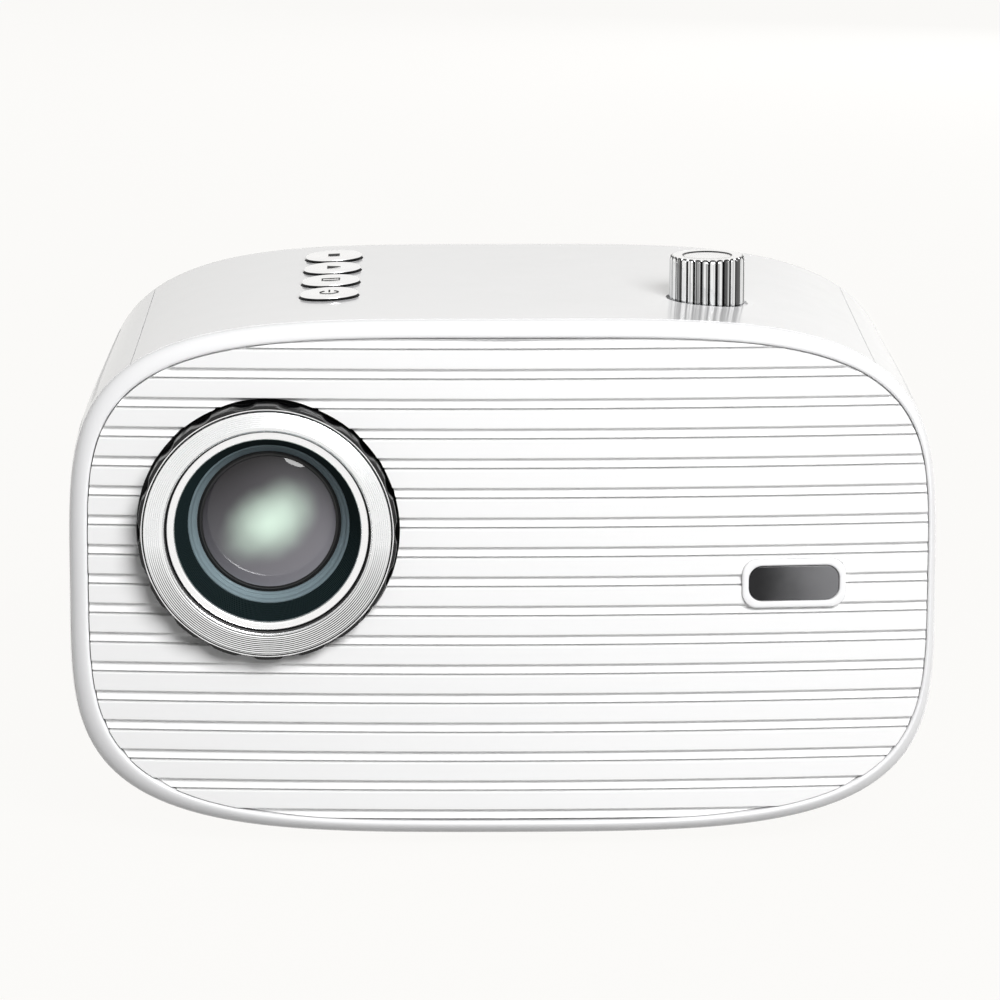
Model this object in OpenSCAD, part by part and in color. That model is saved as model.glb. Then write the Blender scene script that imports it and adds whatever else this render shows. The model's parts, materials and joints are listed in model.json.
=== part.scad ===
// Tabletop video projector with a built-in disc drive, millimetres.
// X runs to the viewer's right, the front with the lens faces -Y, +Z is up.
// The origin is the centre of the bounding box at the level of the feet.

/* [Body] */
// Width of the front rim
body_w = 232.6; // [228:0.2:250]
// Height of the front rim
body_h = 140.8; // [138:0.2:155]
// Depth from the front plane to the rear face
body_d = 143; // [141:0.5:160]
// Squareness of the outline: 2 is an ellipse, higher is squarer
squareness = 4; // [3.6:0.1:5]
// How far the sides swell behind the front rim
side_swell = 3; // [1:0.25:5]
// How much of that swelling is moved from the upper to the lower corners
swell_lean = 1.6; // [0:0.1:1.8]
// How far the underside swells below the front rim
belly = 4; // [2:0.25:6]
// Power of the depth at which the swelling peaks
swell_power = 0.55; // [0.45:0.05:1]
// How far the ends of the front curve back
front_bow = 6; // [4:0.25:7]
// Radius of the rear edges
rear_round = 12; // [10:0.5:14]
// Wall of the casing
wall = 2.2; // [1.8:0.1:2.4]
// Gap between two casing pieces
seam = 0.4; // [0.2:0.05:0.6]
// Polar angle of the seams between the side panels and the covers
side_seam_deg = 43.4; // [42:0.2:46]
// Gap between the underside and the table
ground_gap = 2; // [1.5:0.25:4]

/* [Front] */
// Depth of the visible part of the front rim
rim_d = 4; // [3.5:0.25:5]
// Depth over which the rim rounds off to its front edge
rim_round = 3.4; // [2.5:0.1:3.5]
// Mean width of the front rim's band at the sides
rim_side = 2.4; // [2.3:0.1:6]
// Mean width of the front rim's band above and below
rim_top = 3.6; // [3.4:0.1:6]
// Shift of the ribbed panel to the right of the rim's centre
panel_x = 1.4; // [0:0.1:1.5]
// Shift of the ribbed panel below the rim's centre
panel_drop = 1.1; // [0:0.1:1.5]
// Thickness of the ribbed panel
panel_t = 2.6; // [2.2:0.1:3]
// Pitch of the ribs
rib_pitch = 8.14; // [7.5:0.01:9]
// Height of one groove between two ribs
rib_groove = 3.3; // [2.5:0.1:3.6]
// Depth of the groove
rib_depth = 1.5; // [0.8:0.1:1.6]
// Height of the uppermost crease above the rim's centre
first_crease = 62.3; // [60:0.1:63]
// Width of the receiver window's bezel
ir_bezel_w = 28.3; // [24:0.1:32]
// Height of the receiver window's bezel
ir_bezel_h = 13.4; // [11:0.1:15]
// Width of the bezel's band round the window
ir_band = 1.8; // [1.4:0.1:2.4]
// How far the bezel stands out of the ribs
ir_proud = 0.9; // [0.5:0.1:1.5]
// Place of the receiver window right of the centre
ir_x = 78.7; // [70:0.1:84]
// Place of the receiver window above the centre
ir_z = -2; // [-8:0.1:4]

/* [Lens] */
// Place of the lens axis left of the centre
lens_left = 63.5; // [60:0.5:66]
// Place of the lens axis above the centre
lens_up = 13.4; // [11:0.1:15]
// Width of the focus ring round the barrel
ring_band = 7.4; // [7.2:0.1:8]
// How far the ring's face stands before the front plane
ring_proud = 4.7; // [3.5:0.1:6]
// Whole length of the focus ring
ring_len = 14.5; // [13.5:0.5:15]
// Number of finger scallops round the ring
ring_scallops = 18; // [12:1:24]
// Depth of a finger scallop
scallop_depth = 0.7; // [0.3:0.1:0.9]
// Wall of the ring's black grip
grip_wall = 3.9; // [3.4:0.1:4.2]
// Thickness of the ring's silver face
face_t = 2; // [1.5:0.1:2.5]
// Outer radius of the sliding lens barrel
barrel_r = 27.6; // [27:0.1:28]
// Length of the lens barrel
barrel_len = 48; // [46:0.5:49]
// Recess of the barrel's trim ring behind the ring's face
trim_recess = 3.7; // [3.4:0.1:4]
// Width of the trim ring
trim_w = 2.6; // [2:0.1:3]
// Thickness of the trim ring
trim_t = 1.5; // [1:0.1:2]
// Length of the black cone in front of the glass
cone_len = 7.5; // [6:0.1:9]
// Width of the barrel's wall beside the front glass
glass_wall = 5.6; // [5.2:0.1:6]
// Edge thickness of the front glass
front_glass_t = 4.2; // [3:0.1:5]
// Crown of the front glass
front_glass_crown = 3.4; // [2:0.1:3.6]
// Width of the lens retainer
retainer_w = 2.4; // [2:0.1:3]
// Length of the lens retainer
retainer_len = 4.2; // [3.6:0.1:5]
// Travel of the barrel to each side
focus_travel = 3; // [2:0.25:3]

/* [Controls] */
// Radius of the round buttons
button_r = 8.1; // [7:0.1:8.5]
// Pitch of the buttons
button_pitch = 21.5; // [19:0.1:22.5]
// Depth of the foremost button behind the front plane
button_y = 44.3; // [42:0.1:47]
// Place of the button row left of the centre
button_left = 47.5; // [44:0.1:50]
// How far the buttons stand out of the top
button_proud = 1.5; // [1:0.1:2.2]
// Travel of a button
button_travel = 0.8; // [0.5:0.1:0.9]
// Radius of the volume knob
knob_r = 10.35; // [9.5:0.05:11]
// Height of the knob's top above the rim's centre
knob_top = 81.7; // [79:0.1:84]
// Number of flutes round the knob
knob_flutes = 30; // [24:1:36]
// Place of the knob right of the centre
knob_x = 56.5; // [52:0.1:60]
// Depth of the knob behind the front plane
knob_y = 41.5; // [38:0.1:45]
// Gap between the knob and its recess
knob_well_gap = 0.9; // [0.5:0.1:1.2]
// Radius of the knob's shaft
shaft_r = 3; // [2.5:0.1:3]

/* [Disc drive] */
// Radius of a disc
disc_r = 60; // [60:0.5:60]
// Gap round the disc in its recess
disc_gap = 0.5; // [0.3:0.1:0.6]
// Height of the slim drive
drive_h = 12.7; // [12.7:0.1:13.2]
// Height of the drive's centre above the rim's centre
drive_z = -42; // [-42.5:0.1:-41]
// Place of the drive's centre to the right
drive_x = 18; // [14:0.5:19]
// Front end of the drive's chassis behind the front plane
drive_y0 = 11.2; // [10.8:0.1:11.4]
// Sheet thickness of the drive's chassis and cover
drive_sheet = 0.8; // [0.6:0.1:0.9]
// Width of the tray
tray_w = 122.8; // [122.4:0.1:123]
// Length of the tray
tray_len = 127; // [126:0.1:127]
// Depth of the disc recess
disc_recess = 1.8; // [1.4:0.1:1.9]
// Height of the tray's bezel
bezel_h = 14; // [13.4:0.1:14.6]
// Thickness of the tray's bezel
bezel_t = 3.4; // [3:0.1:3.6]
// Gap round the bezel
bezel_gap = 0.4; // [0.3:0.05:0.6]
// Travel of the laser sled
sled_travel = 31; // [26:0.5:31]
// Travel of the eject button
eject_travel = 0.8; // [0.5:0.1:1]

/* [Optics] */
// Inner height of the light box
light_h = 67; // [60:0.5:67]
// Inner width of the light box
light_w = 54; // [52:0.5:54]
// Wall of the light box
light_wall = 2; // [1.5:0.1:2]
// Distance of the light axis from the rear face
light_back = 51; // [50.5:0.5:53]
// Right end of the light box
light_right = 34; // [33:0.5:35]
// Thickness of the folding mirror
mirror_t = 3; // [2:0.1:3]
// Thickness of the picture panel with its frame
lcd_t = 4; // [3:0.1:4.5]
// Edge of the square fan
fan_w = 60; // [58:0.5:60]
// Thickness of the fan
fan_t = 25; // [20:0.5:25]
// Length of the heat sink from the light source to the fan
sink_len = 36; // [34:0.5:37]
// Number of heat sink fins
sink_fins = 13; // [9:1:15]
// Thickness of one fin
fin_t = 1.4; // [1:0.1:1.6]

/* [Inside] */
// Thickness of the inner deck
deck_t = 2; // [1.6:0.1:2.4]
// Thickness of the circuit boards
board_t = 1.6; // [1.2:0.1:1.6]
// Radius of the loudspeakers
speaker_r = 20; // [18:0.5:21]
// Depth of the loudspeakers
speaker_d = 13; // [11:0.5:14]
// Radius of the rubber feet
foot_r = 8; // [7:0.5:9]
// Height of the rubber feet
foot_h = 3.2; // [3:0.1:4]
// Distance of the feet from the widest point of each side
foot_in = 46.3; // [44:0.5:50]
// Radius of the tripod thread
tripod_r = 3.175; // [3.175:0.005:3.175]
// Depth of the tripod thread
tripod_len = 8; // [7:0.5:9]

/* [Fits] */
// Radial clearance of a turning or sliding fit
run_gap = 0.05; // [0.03:0.01:0.08]
// Gap between a fixed piece and its seat
seat_gap = 0.1; // [0.05:0.05:0.2]
// Gap round a piece that moves freely
free_gap = 0.3; // [0.2:0.05:0.4]

/* [Hidden] */

white = "#f6f6f7";
pale_grey = "#e2e2e5";
black = "#151517";
steel = "#b9bcc0";
chrome = "#d5d7da";
board_green = "#1e6b3f";
glass = "#8fb5b0";

round_fn = 72;
small_fn = 32;
outline_step = 3;

// Reference planes
eject_proud = eject_travel + 0.2;
front_y = (ring_proud - body_d - eject_proud) / 2;
mid_z = ground_gap + body_h / 2 + belly;
bow_radius = body_w * body_w / 8 / front_bow;
panel_w = body_w - 2 * rim_side;
panel_h = body_h - 2 * rim_top;
ring_r = barrel_r + ring_band;
front_glass_r = barrel_r - glass_wall - 0.2;
light_y = body_d - light_back;
foot_x = body_w / 2 - foot_in;

// ---- Outline of the body -------------------------------------------------
// A superellipse in polar form: r(a) * [cos a, sin a] lies on the unit outline.
function outline_r(a) =
    pow(pow(abs(cos(a)), squareness) + pow(abs(sin(a)), squareness), -1 / squareness);
function outline_u(a) = cos(a) * outline_r(a);
function outline_v(a) = sin(a) * outline_r(a);
function swell(t) = sin(180 * pow(max(0, t) / body_d, swell_power));
function half_w(v, t) = body_w / 2 + side_swell * swell(t) * (1 - swell_lean * v * abs(v));
function half_h(v, t) = body_h / 2 + (v < 0 ? belly * swell(t) : 0);

// Point on the body at polar angle a and depth t, moved in by inset
function body_pt(a, t, inset) =
    let (u = outline_u(a), v = outline_v(a))
    [(half_w(v, t) - inset) * u,
     front_y + t + front_bow * u * u * (1 - t / body_d),
     mid_z + (half_h(v, t) - inset) * v];

// Point on the edge of the ribbed panel, grown by a gap
function panel_pt(a, t, grow) =
    let (x = panel_x + (panel_w / 2 + grow) * outline_u(a))
    [x,
     front_y + t + front_bow * pow(2 * x / body_w, 2),
     mid_z - panel_drop + (panel_h / 2 + grow) * outline_v(a)];

// Depth of the bowed front surface behind the front plane at x
function bow_at(x) = front_bow * pow(2 * x / body_w, 2);

// Height of the underside below the rim's centre, and of the top above it
function width_share(x, v, t) = min(0.999, abs(x) / half_w(v, t));
function cap_v(x, v, t) =
    pow(1 - pow(width_share(x, v, t), squareness), 1 / squareness);
function floor_at(x, t) = -half_h(-1, t) * cap_v(x, -1, t);
function roof_at(x, t) = half_h(1, t) * cap_v(x, 1, t);
// Outer face of the side at height z above the rim's centre
function side_at(z, t) =
    let (v = z / half_h(z < 0 ? -1 : 1, t))
    half_w(v, t) * pow(1 - pow(abs(v), squareness), 1 / squareness);

function blend(a, b, f) = a * (1 - f) + b * f;

// Solid between closed loops of points, each loop of 2m points: the outer
// side first, then the inner side backwards
module loft(loops, closed = false) {
    n = len(loops);
    k = len(loops[0]);
    m = k / 2;
    last = closed ? n - 1 : n - 2;
    sides = [for (i = [0 : last], q = [0 : k - 1])
        let (a = i * k + q, b = i * k + (q + 1) % k,
             c = ((i + 1) % n) * k + q, d = ((i + 1) % n) * k + (q + 1) % k)
        each [[a, c, d], [a, d, b]]];
    e = (n - 1) * k;
    caps = closed ? [] : [for (j = [0 : m - 2])
        let (o = j, p = j + 1, r = k - 2 - j, s = k - 1 - j)
        each [[o, p, r], [o, r, s], [e + o, e + r, e + p], [e + o, e + s, e + r]]];
    polyhedron(points = [for (l = loops) each l], faces = concat(sides, caps), convexity = 6);
}

// Piece of the casing between two polar angles, from the rim to the rear edge
shell_t0 = rim_d + seam;
depth_steps = 8;
stations = concat(
    [for (i = [0 : depth_steps])
        let (t = shell_t0 + (body_d - rear_round - shell_t0) * i / depth_steps) [t, 0, t, wall]],
    [for (b = [15 : 15 : 90])
        [body_d - rear_round + rear_round * sin(b), rear_round * (1 - cos(b)),
         body_d - rear_round + (rear_round - wall) * sin(b),
         rear_round - (rear_round - wall) * cos(b)]]);
seam_half_deg = seam / body_w * 180 / PI;

module casing(a0, a1, steps, thick = wall) {
    loft([for (i = [0 : steps])
        let (a = a0 + seam_half_deg + (a1 - a0 - 2 * seam_half_deg) * i / steps)
        concat([for (s = stations) body_pt(a, s[0], s[1])],
            [for (j = [len(stations) - 1 : -1 : 0])
                let (s = stations[j]) body_pt(a, s[2], s[3] + thick - wall)])]);
}

// ---- Placing helpers -----------------------------------------------------
// x from the centre, depth behind the front plane, height above the rim's centre
module at(x, y, z) {
    translate([x, front_y + y, mid_z + z]) children();
}
module block(x0, x1, y0, y1, z0, z1) {
    at(x0, y0, z0) cube([x1 - x0, y1 - y0, z1 - z0]);
}
module post(x, y, z0, z1, r, fn = small_fn) {
    at(x, y, z0) cylinder(r = r, h = z1 - z0, $fn = fn);
}
module rod_x(x0, x1, y, z, r, fn = small_fn) {
    at(x0, y, z) rotate([0, 90, 0]) cylinder(r = r, h = x1 - x0, $fn = fn);
}
module rod_y(x, y0, y1, z, r, fn = small_fn) {
    at(x, y0, z) rotate([-90, 0, 0]) cylinder(r = r, h = y1 - y0, $fn = fn);
}
// Solid of revolution about the lens axis from [radius, depth] points
module on_lens_axis(points) {
    at(-lens_left, 0, lens_up) rotate([-90, 0, 0]) rotate_extrude($fn = round_fn) polygon(points);
}
// Block with four round edges along Y
module rounded_y(w, d, h, r) {
    translate([-w / 2, 0, -h / 2 + r]) cube([w, d, h - 2 * r]);
    translate([-w / 2 + r, 0, -h / 2]) cube([w - 2 * r, d, h]);
    for (sx = [-1, 1], sz = [-1, 1])
        translate([sx * (w / 2 - r), 0, sz * (h / 2 - r)]) rotate([-90, 0, 0])
            cylinder(r = r, h = d, $fn = small_fn);
}

// ---- Casing ----------------------------------------------------------------
tongue_gap = 0.4;
tongue_t = 2;
tongue_len = 4;
ledge_t = panel_t + 0.3;
round_steps = 5;
module front_rim() {
    inner = wall + tongue_gap;
    color(white) loft(closed = true, [for (a = [0 : outline_step : 359])
        concat(
            [for (i = [round_steps : -1 : 0])
                let (b = 90 * i / round_steps,
                     t = rim_round * (1 - sin(b)))
                blend(body_pt(a, t, 0), panel_pt(a, t, seat_gap), 1 - cos(b))],
            [body_pt(a, rim_d, 0), body_pt(a, rim_d, inner),
             body_pt(a, rim_d + tongue_len, inner)],
            [body_pt(a, rim_d + tongue_len, inner + tongue_t), body_pt(a, ledge_t, inner + tongue_t),
             panel_pt(a, ledge_t, seat_gap)],
            [for (i = [1 : round_steps + 1])
                panel_pt(a, ledge_t * (1 - i / (round_steps + 2)), seat_gap)])]);
}

// One groove, top to bottom: [share of its height, share of its depth]
groove = [[0, 0], [0.1, 0.9], [0.3, 1], [0.58, 0.62], [0.82, 0.26], [0.86, 0.75], [1, 0.1]];
rib_count = floor((first_crease + panel_drop + panel_h / 2) / rib_pitch) + 1;
panel_over = 4;
module ribbed_skin() {
    top = panel_h / 2 + panel_over;
    sweep = 2 * asin((panel_w / 2 + panel_over) / bow_radius);
    face = [for (k = [0 : rib_count - 1], p = groove)
        [bow_radius - rib_depth * p[1],
         first_crease + rib_groove * (1 - p[0]) - k * rib_pitch]];
    translate([0, front_y + bow_radius, mid_z]) rotate([0, 0, -90 - sweep / 2])
        rotate_extrude(angle = sweep, $fn = 450)
            polygon(concat([[bow_radius - panel_t, top], [bow_radius, top]], face,
                [[bow_radius, -top - rib_pitch], [bow_radius - panel_t, -top - rib_pitch]]));
}
module panel_prism(grow) {
    depth = 20;
    at(panel_x, depth - 4, -panel_drop) rotate([90, 0, 0]) linear_extrude(height = depth)
        polygon([for (a = [0 : outline_step : 359])
            [(panel_w / 2 + grow) * outline_u(a), (panel_h / 2 + grow) * outline_v(a)]]);
}
ring_hole_r = ring_r + 0.6;
mount_flange_r = ring_hole_r + 6.4;
mount_y = ring_len - ring_proud + 1.2;
mount_screw_r = ring_hole_r + 3.4;
ir_y = bow_at(ir_x);
ir_turn = atan(4 * 2 * front_bow * ir_x / body_w / body_w);
ir_corner = 0.31 * ir_bezel_h;
ir_depth = 5;
module on_ir_window() {
    at(ir_x, ir_y, ir_z) rotate([0, 0, ir_turn]) children();
}
module ribbed_front_panel() {
    color(white) difference() {
        union() {
            intersection() {
                ribbed_skin();
                panel_prism(0);
            }
            for (a = [45 : 90 : 315]) {
                x = -lens_left + mount_screw_r * cos(a);
                rod_y(x, bow_at(x) + panel_t - 0.6, mount_y, lens_up + mount_screw_r * sin(a), 2.8);
            }
        }
        rod_y(-lens_left, -5, mount_y + 1, lens_up, ring_hole_r, round_fn);
        on_ir_window() translate([0, -6, 0])
            rounded_y(ir_bezel_w + 2 * seat_gap, 20, ir_bezel_h + 2 * seat_gap, ir_corner + seat_gap);
    }
}
module ir_bezel() {
    color(white) on_ir_window() difference() {
        union() {
            translate([0, -ir_proud, 0])
                rounded_y(ir_bezel_w, ir_depth + ir_proud, ir_bezel_h, ir_corner);
            translate([0, panel_t + 0.6, 0])
                rounded_y(ir_bezel_w + 3, ir_depth - panel_t - 0.6, ir_bezel_h + 3, ir_corner + 1.5);
        }
        translate([0, -ir_proud - 1, 0])
            rounded_y(ir_bezel_w - 2 * ir_band, ir_depth + ir_proud + 2, ir_bezel_h - 2 * ir_band,
                ir_corner - ir_band / 4);
    }
}
module ir_window() {
    w = ir_bezel_w - 2 * ir_band - 2 * seat_gap;
    h = ir_bezel_h - 2 * ir_band - 2 * seat_gap;
    color("#2c2c2f") on_ir_window() translate([0, -ir_proud / 3, 0])
        rounded_y(w, 2, h, ir_corner - ir_band / 4 - seat_gap);
}
ir_board_y = ir_depth + 1.2;
module ir_receiver() {
    color("#3a2a22") on_ir_window() {
        translate([-ir_bezel_w / 2 - 1, ir_board_y, -ir_bezel_h / 2 - 1])
            cube([ir_bezel_w + 2, board_t, ir_bezel_h + 2]);
        translate([-3, 3.9, -4]) cube([6, ir_board_y - 3.9, 8]);
        translate([0, 3.9, 0.5]) sphere(r = 1.8, $fn = 24);
        for (x = [-ir_bezel_w / 2 + 0.4, ir_bezel_w / 2 - 1.4])
            translate([x, ir_depth + seat_gap, -3]) cube([1, ir_board_y - ir_depth, 6]);
    }
}

// Top cover: button holes, and a level well for the knob in the sloping top
well_r = knob_r + knob_well_gap;
well_z = roof_at(knob_x + well_r, knob_y) - 0.5;
well_pad = 3.4;
bushing_r = 3.5;
button_hole_r = button_r + free_gap;
function button_depth(i) = button_y + i * button_pitch;
button_roof = roof_at(button_left, button_y + 1.5 * button_pitch);
button_tilt = atan((roof_at(button_left - button_r, button_y) - roof_at(button_left + button_r, button_y))
    / button_r / 2);
switch_h = 4.3;
plunger_h = 0.8;
button_board_z = 57.4;
button_board_w = 24;
board_post_r = 2.5;
button_board_y0 = button_y - 12;
button_board_y1 = button_depth(3) + 12;
board_post_x = button_board_w / 2 - 3.2;
module board_post_spots() {
    for (x = [-1, 1], i = [0, 1, 2])
        translate([-button_left + x * board_post_x, button_depth(i) + button_pitch / 2, 0]) children();
}
module top_cover() {
    color(pale_grey) difference() {
        union() {
            casing(side_seam_deg, 180 - side_seam_deg, 24);
            post(knob_x, knob_y, well_z - well_pad, well_z + 0.4, well_r + 1.6, round_fn);
            at(0, 0, button_board_z + board_t) board_post_spots()
                cylinder(r = board_post_r, $fn = small_fn,
                    h = roof_at(button_left + board_post_x, button_y) - 1 - button_board_z - board_t);
        }
        for (i = [0 : 3])
            post(-button_left, button_depth(i), button_board_z, knob_top, button_hole_r, round_fn);
        post(knob_x, knob_y, well_z, knob_top, well_r, round_fn);
        post(knob_x, knob_y, 0, knob_top, bushing_r + seat_gap);
    }
}

// Side panels: slots in line with the ribs
speaker_z = lens_up - 3;
left_speaker_y = body_d - 43;
right_speaker_y = speaker_r + 18;
slot_h = 2.6;
slot_first = 2;
slot_count = 8;
vent_y0 = 18;
vent_y1 = body_d - rear_round - 9;
module side_slots(side) {
    x = side > 0 ? body_w / 2 - 14 : -body_w / 2 - 16;
    for (k = [slot_first : slot_first + slot_count - 1]) {
        z = first_crease - k * rib_pitch;
        block(x, x + 30, vent_y0, vent_y1, z - slot_h / 2, z + slot_h / 2);
        for (y = [vent_y0, vent_y1]) rod_x(x, x + 30, y, z, slot_h / 2, 12);
    }
}
module left_side_panel() {
    color(white) difference() {
        casing(180 - side_seam_deg, 180 + side_seam_deg, 20);
        side_slots(-1);
    }
}
module right_side_panel() {
    color(white) difference() {
        casing(-side_seam_deg, side_seam_deg, 20);
        side_slots(1);
    }
}

// Bottom case: bosses for the drive, the deck, the power board and the feet
deck_z0 = drive_z + drive_h / 2 + seat_gap;
deck_z1 = deck_z0 + deck_t;
drive_z0 = drive_z - drive_h / 2;
drive_w = tray_w + 2 * (drive_sheet + free_gap) + 0.4;
drive_x0 = drive_x - drive_w / 2;
drive_x1 = drive_x + drive_w / 2;
power_z = -57;
column_r = 4.4;
column_x = [23.3 - body_w / 2, drive_x0 - column_r - 2.9, drive_x1 + column_r + 3.9];
column_y = [26, body_d - 22];
column_z = -56.5;
drive_boss_x = [drive_x - 50, drive_x + 50];
drive_boss_y = [26, body_d - 22];
power_x0 = column_x[0] + 8;
power_x1 = column_x[1] - 6;
power_y0 = 22;
power_y1 = body_d - 17;
board_inset = 4;
screw_r = 1.5;
screw_head_r = 3;
screw_grip = 3;
screw_bite = 7;
foot_y = [48, body_d - 25];
foot_top = foot_h - mid_z;
tripod_boss_r = 9;
insert_r = 6;
insert_h = tripod_len + 1.5;
tripod_z = floor_at(0, -front_y) - 0.3;
module boss(x, y, top, r) {
    post(x, y, floor_at(abs(x) + r, y) + wall / 4, top, r);
}
module foot_pad(x, y) {
    post(x, y, foot_top, floor_at(abs(x) + foot_r, y) + wall / 2, foot_r + 1.6);
}
module foot_spots() {
    for (x = [-foot_x, foot_x], y = foot_y) at(x, y, -mid_z) children();
}
module column_spots() {
    for (x = column_x, y = column_y) at(x, y, column_z) children();
}
module bottom_case() {
    color(white) difference() {
        union() {
            casing(180 + side_seam_deg, 360 - side_seam_deg, 24);
            for (x = column_x, y = column_y) boss(x, y, column_z, 5);
            for (x = drive_boss_x, y = drive_boss_y) {
                boss(x, y, drive_z0, 4);
                post(x, y, drive_z0 - 0.5, drive_z0 + drive_sheet - 0.2, screw_r - seat_gap);
            }
            for (x = [power_x0 + board_inset, power_x1 - board_inset],
                 y = [power_y0 + board_inset, power_y1 - board_inset])
                boss(x, y, power_z, 3);
            for (x = [-foot_x, foot_x], y = foot_y) foot_pad(x, y);
            boss(0, -front_y, tripod_z + insert_h + 2, tripod_boss_r);
            post(0, -front_y, tripod_z, floor_at(0, -front_y) + wall, tripod_boss_r);
        }
        column_spots() {
            translate([0, 0, -screw_grip - 1])
                cylinder(r = screw_r + seat_gap, h = screw_grip + 2, $fn = small_fn);
            translate([0, 0, -screw_grip - 15])
                cylinder(r = screw_head_r + 0.2, h = 15, $fn = small_fn);
        }
        foot_spots() translate([0, 0, -1]) cylinder(r = foot_r + seat_gap, h = foot_h + 1, $fn = 48);
        post(0, -front_y, tripod_z - 1, tripod_z + insert_h + seat_gap, insert_r + seat_gap);
    }
}
module case_screws() {
    color(steel) column_spots() difference() {
        union() {
            translate([0, 0, -screw_grip - 1.6]) cylinder(r = screw_head_r, h = 1.6, $fn = small_fn);
            translate([0, 0, -screw_grip - 0.5])
                cylinder(r = screw_r, h = screw_grip + screw_bite + 0.5, $fn = small_fn);
        }
        for (a = [0, 90]) rotate([0, 0, a])
            translate([-2, -0.35, -screw_grip - 2]) cube([4, 0.7, 1.1]);
    }
}
module rubber_feet() {
    color(black) foot_spots() cylinder(r = foot_r, h = foot_h, $fn = 48);
}
module tripod_insert() {
    color("#c9a44a") at(0, -front_y, tripod_z) difference() {
        cylinder(r = insert_r, h = insert_h, $fn = small_fn);
        translate([0, 0, -1]) cylinder(r = tripod_r, h = tripod_len + 1, $fn = small_fn);
    }
}

// Rear panel: a plate in the rear opening, with a lip inside the casing
plate_inset = rear_round + seam;
lip_out = 2.2;
lip_t = 1.4;
lip_w = 5;
rear_in = body_d - wall;
port_z = -22;
usb_x = 30.3 - body_w / 2;
hdmi_x = usb_x + 24;
jack_x = [hdmi_x + 20, hdmi_x + 32];
inlet_w = 17.4;
inlet_h = 8.8;
tray_opening_w = tray_w + 3 + 2 * bezel_gap;
inlet_x = drive_x - (tray_opening_w + inlet_w) / 2 - 8;
inlet_z = drive_z;
hdmi_w = 15.2;
hdmi_h = 5.8;
usb_w = 13.6;
usb_h = 6.4;
jack_r = 4;
vent_x0 = 0;
vent_x1 = body_w / 2 - 32.3;
vent_first = 3;
vent_last = 9;
module rear_plate(inset, t0, t1) {
    at(0, t1, 0) rotate([90, 0, 0]) linear_extrude(height = t1 - t0)
        polygon([for (a = [0 : outline_step : 359])
            [(body_w / 2 - inset) * outline_u(a), (body_h / 2 - inset) * outline_v(a)]]);
}
module rear_cut(x, z, w, h, deep) {
    block(x - w / 2, x + w / 2, body_d - deep, body_d + 5, z - h / 2, z + h / 2);
}
module rear_panel() {
    color(white) difference() {
        union() {
            rear_plate(plate_inset, rear_in, body_d);
            difference() {
                rear_plate(plate_inset - lip_out, rear_in - 0.5 - lip_t, rear_in - 0.5);
                rear_plate(plate_inset - lip_out + lip_w, rear_in - 9, rear_in + 1);
            }
            difference() {
                rear_plate(plate_inset + 1, rear_in - 0.6, rear_in + 0.1);
                rear_plate(plate_inset - lip_out + lip_w, rear_in - 9, rear_in + 1);
            }
        }
        for (k = [vent_first : vent_last])
            rear_cut((vent_x0 + vent_x1) / 2, first_crease - k * rib_pitch, vent_x1 - vent_x0, slot_h, 20);
        rear_cut(hdmi_x, port_z, hdmi_w + 0.4, hdmi_h + 0.4, 20);
        rear_cut(usb_x, port_z, usb_w + 0.4, usb_h + 0.4, 20);
        rear_cut(inlet_x, inlet_z, inlet_w + 3.4, inlet_h + 3.4, 20);
        rear_cut(drive_x, drive_z, tray_opening_w, bezel_h + 2 * bezel_gap, 20);
        for (x = jack_x) rod_y(x, body_d - 20, body_d + 5, port_z, jack_r + 0.2);
    }
}

// ---- Lens --------------------------------------------------------------------
ring_face_y = -ring_proud;
grip_in_r = ring_r - grip_wall;
grip_front_y = ring_face_y + 0.8;
grip_back_y = ring_face_y + ring_len;
scallop_r = 9;
module focus_ring_grip() {
    color(black) difference() {
        on_lens_axis([[grip_in_r + run_gap, grip_front_y + face_t], [grip_in_r + run_gap, grip_back_y],
            [ring_r - 0.6, grip_back_y], [ring_r, grip_back_y - 0.6], [ring_r, grip_front_y + 0.5],
            [ring_r - 0.5, grip_front_y], [ring_r - 1.2, grip_front_y],
            [ring_r - 1.2, grip_front_y + face_t]]);
        for (i = [0 : ring_scallops - 1]) {
            a = (i + 0.5) * 360 / ring_scallops;
            d = ring_r + scallop_r - scallop_depth;
            rod_y(-lens_left + d * cos(a), ring_face_y - 1, grip_back_y + 1, lens_up + d * sin(a),
                scallop_r);
        }
    }
}
face_in_r = barrel_r + free_gap;
face_out_r = ring_r - 1.2 - seat_gap;
module focus_ring_face() {
    back = grip_front_y + face_t - seat_gap;
    color(chrome) on_lens_axis([[face_in_r, ring_face_y + 0.9], [face_in_r + 0.5, ring_face_y + 0.3],
        [face_in_r + 2.6, ring_face_y + 0.5], [face_out_r - 1, ring_face_y],
        [face_out_r, ring_face_y + 0.6], [face_out_r, back], [face_in_r, back]]);
}
mount_in_r = barrel_r + run_gap;
mount_front_y = grip_front_y + face_t + 0.6;

mount_flange_t = 3;
module lens_mount() {
    color(black) difference() {
        mount_back_y = box_front - light_wall - seat_gap;
        on_lens_axis([[mount_in_r, mount_front_y], [grip_in_r, mount_front_y], [grip_in_r, mount_y],
            [mount_flange_r, mount_y], [mount_flange_r, mount_y + mount_flange_t],
            [grip_in_r + 0.5, mount_y + mount_flange_t], [grip_in_r + 0.5, mount_back_y],
            [mount_in_r, mount_back_y]]);
        for (a = [45 : 90 : 315])
            rod_y(-lens_left + mount_screw_r * cos(a), mount_y - 1, mount_y + mount_flange_t + 1,
                lens_up + mount_screw_r * sin(a), 1.3, 24);
    }
}
trim_y = ring_face_y + trim_recess;
barrel_y = trim_y + trim_t;
barrel_end = barrel_y + barrel_len;
cone_y = barrel_y + cone_len;
cone_in_r = front_glass_r + 0.2;
cone_out_r = barrel_r - trim_w;
retainer_y0 = cone_y + 0.2;
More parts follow.
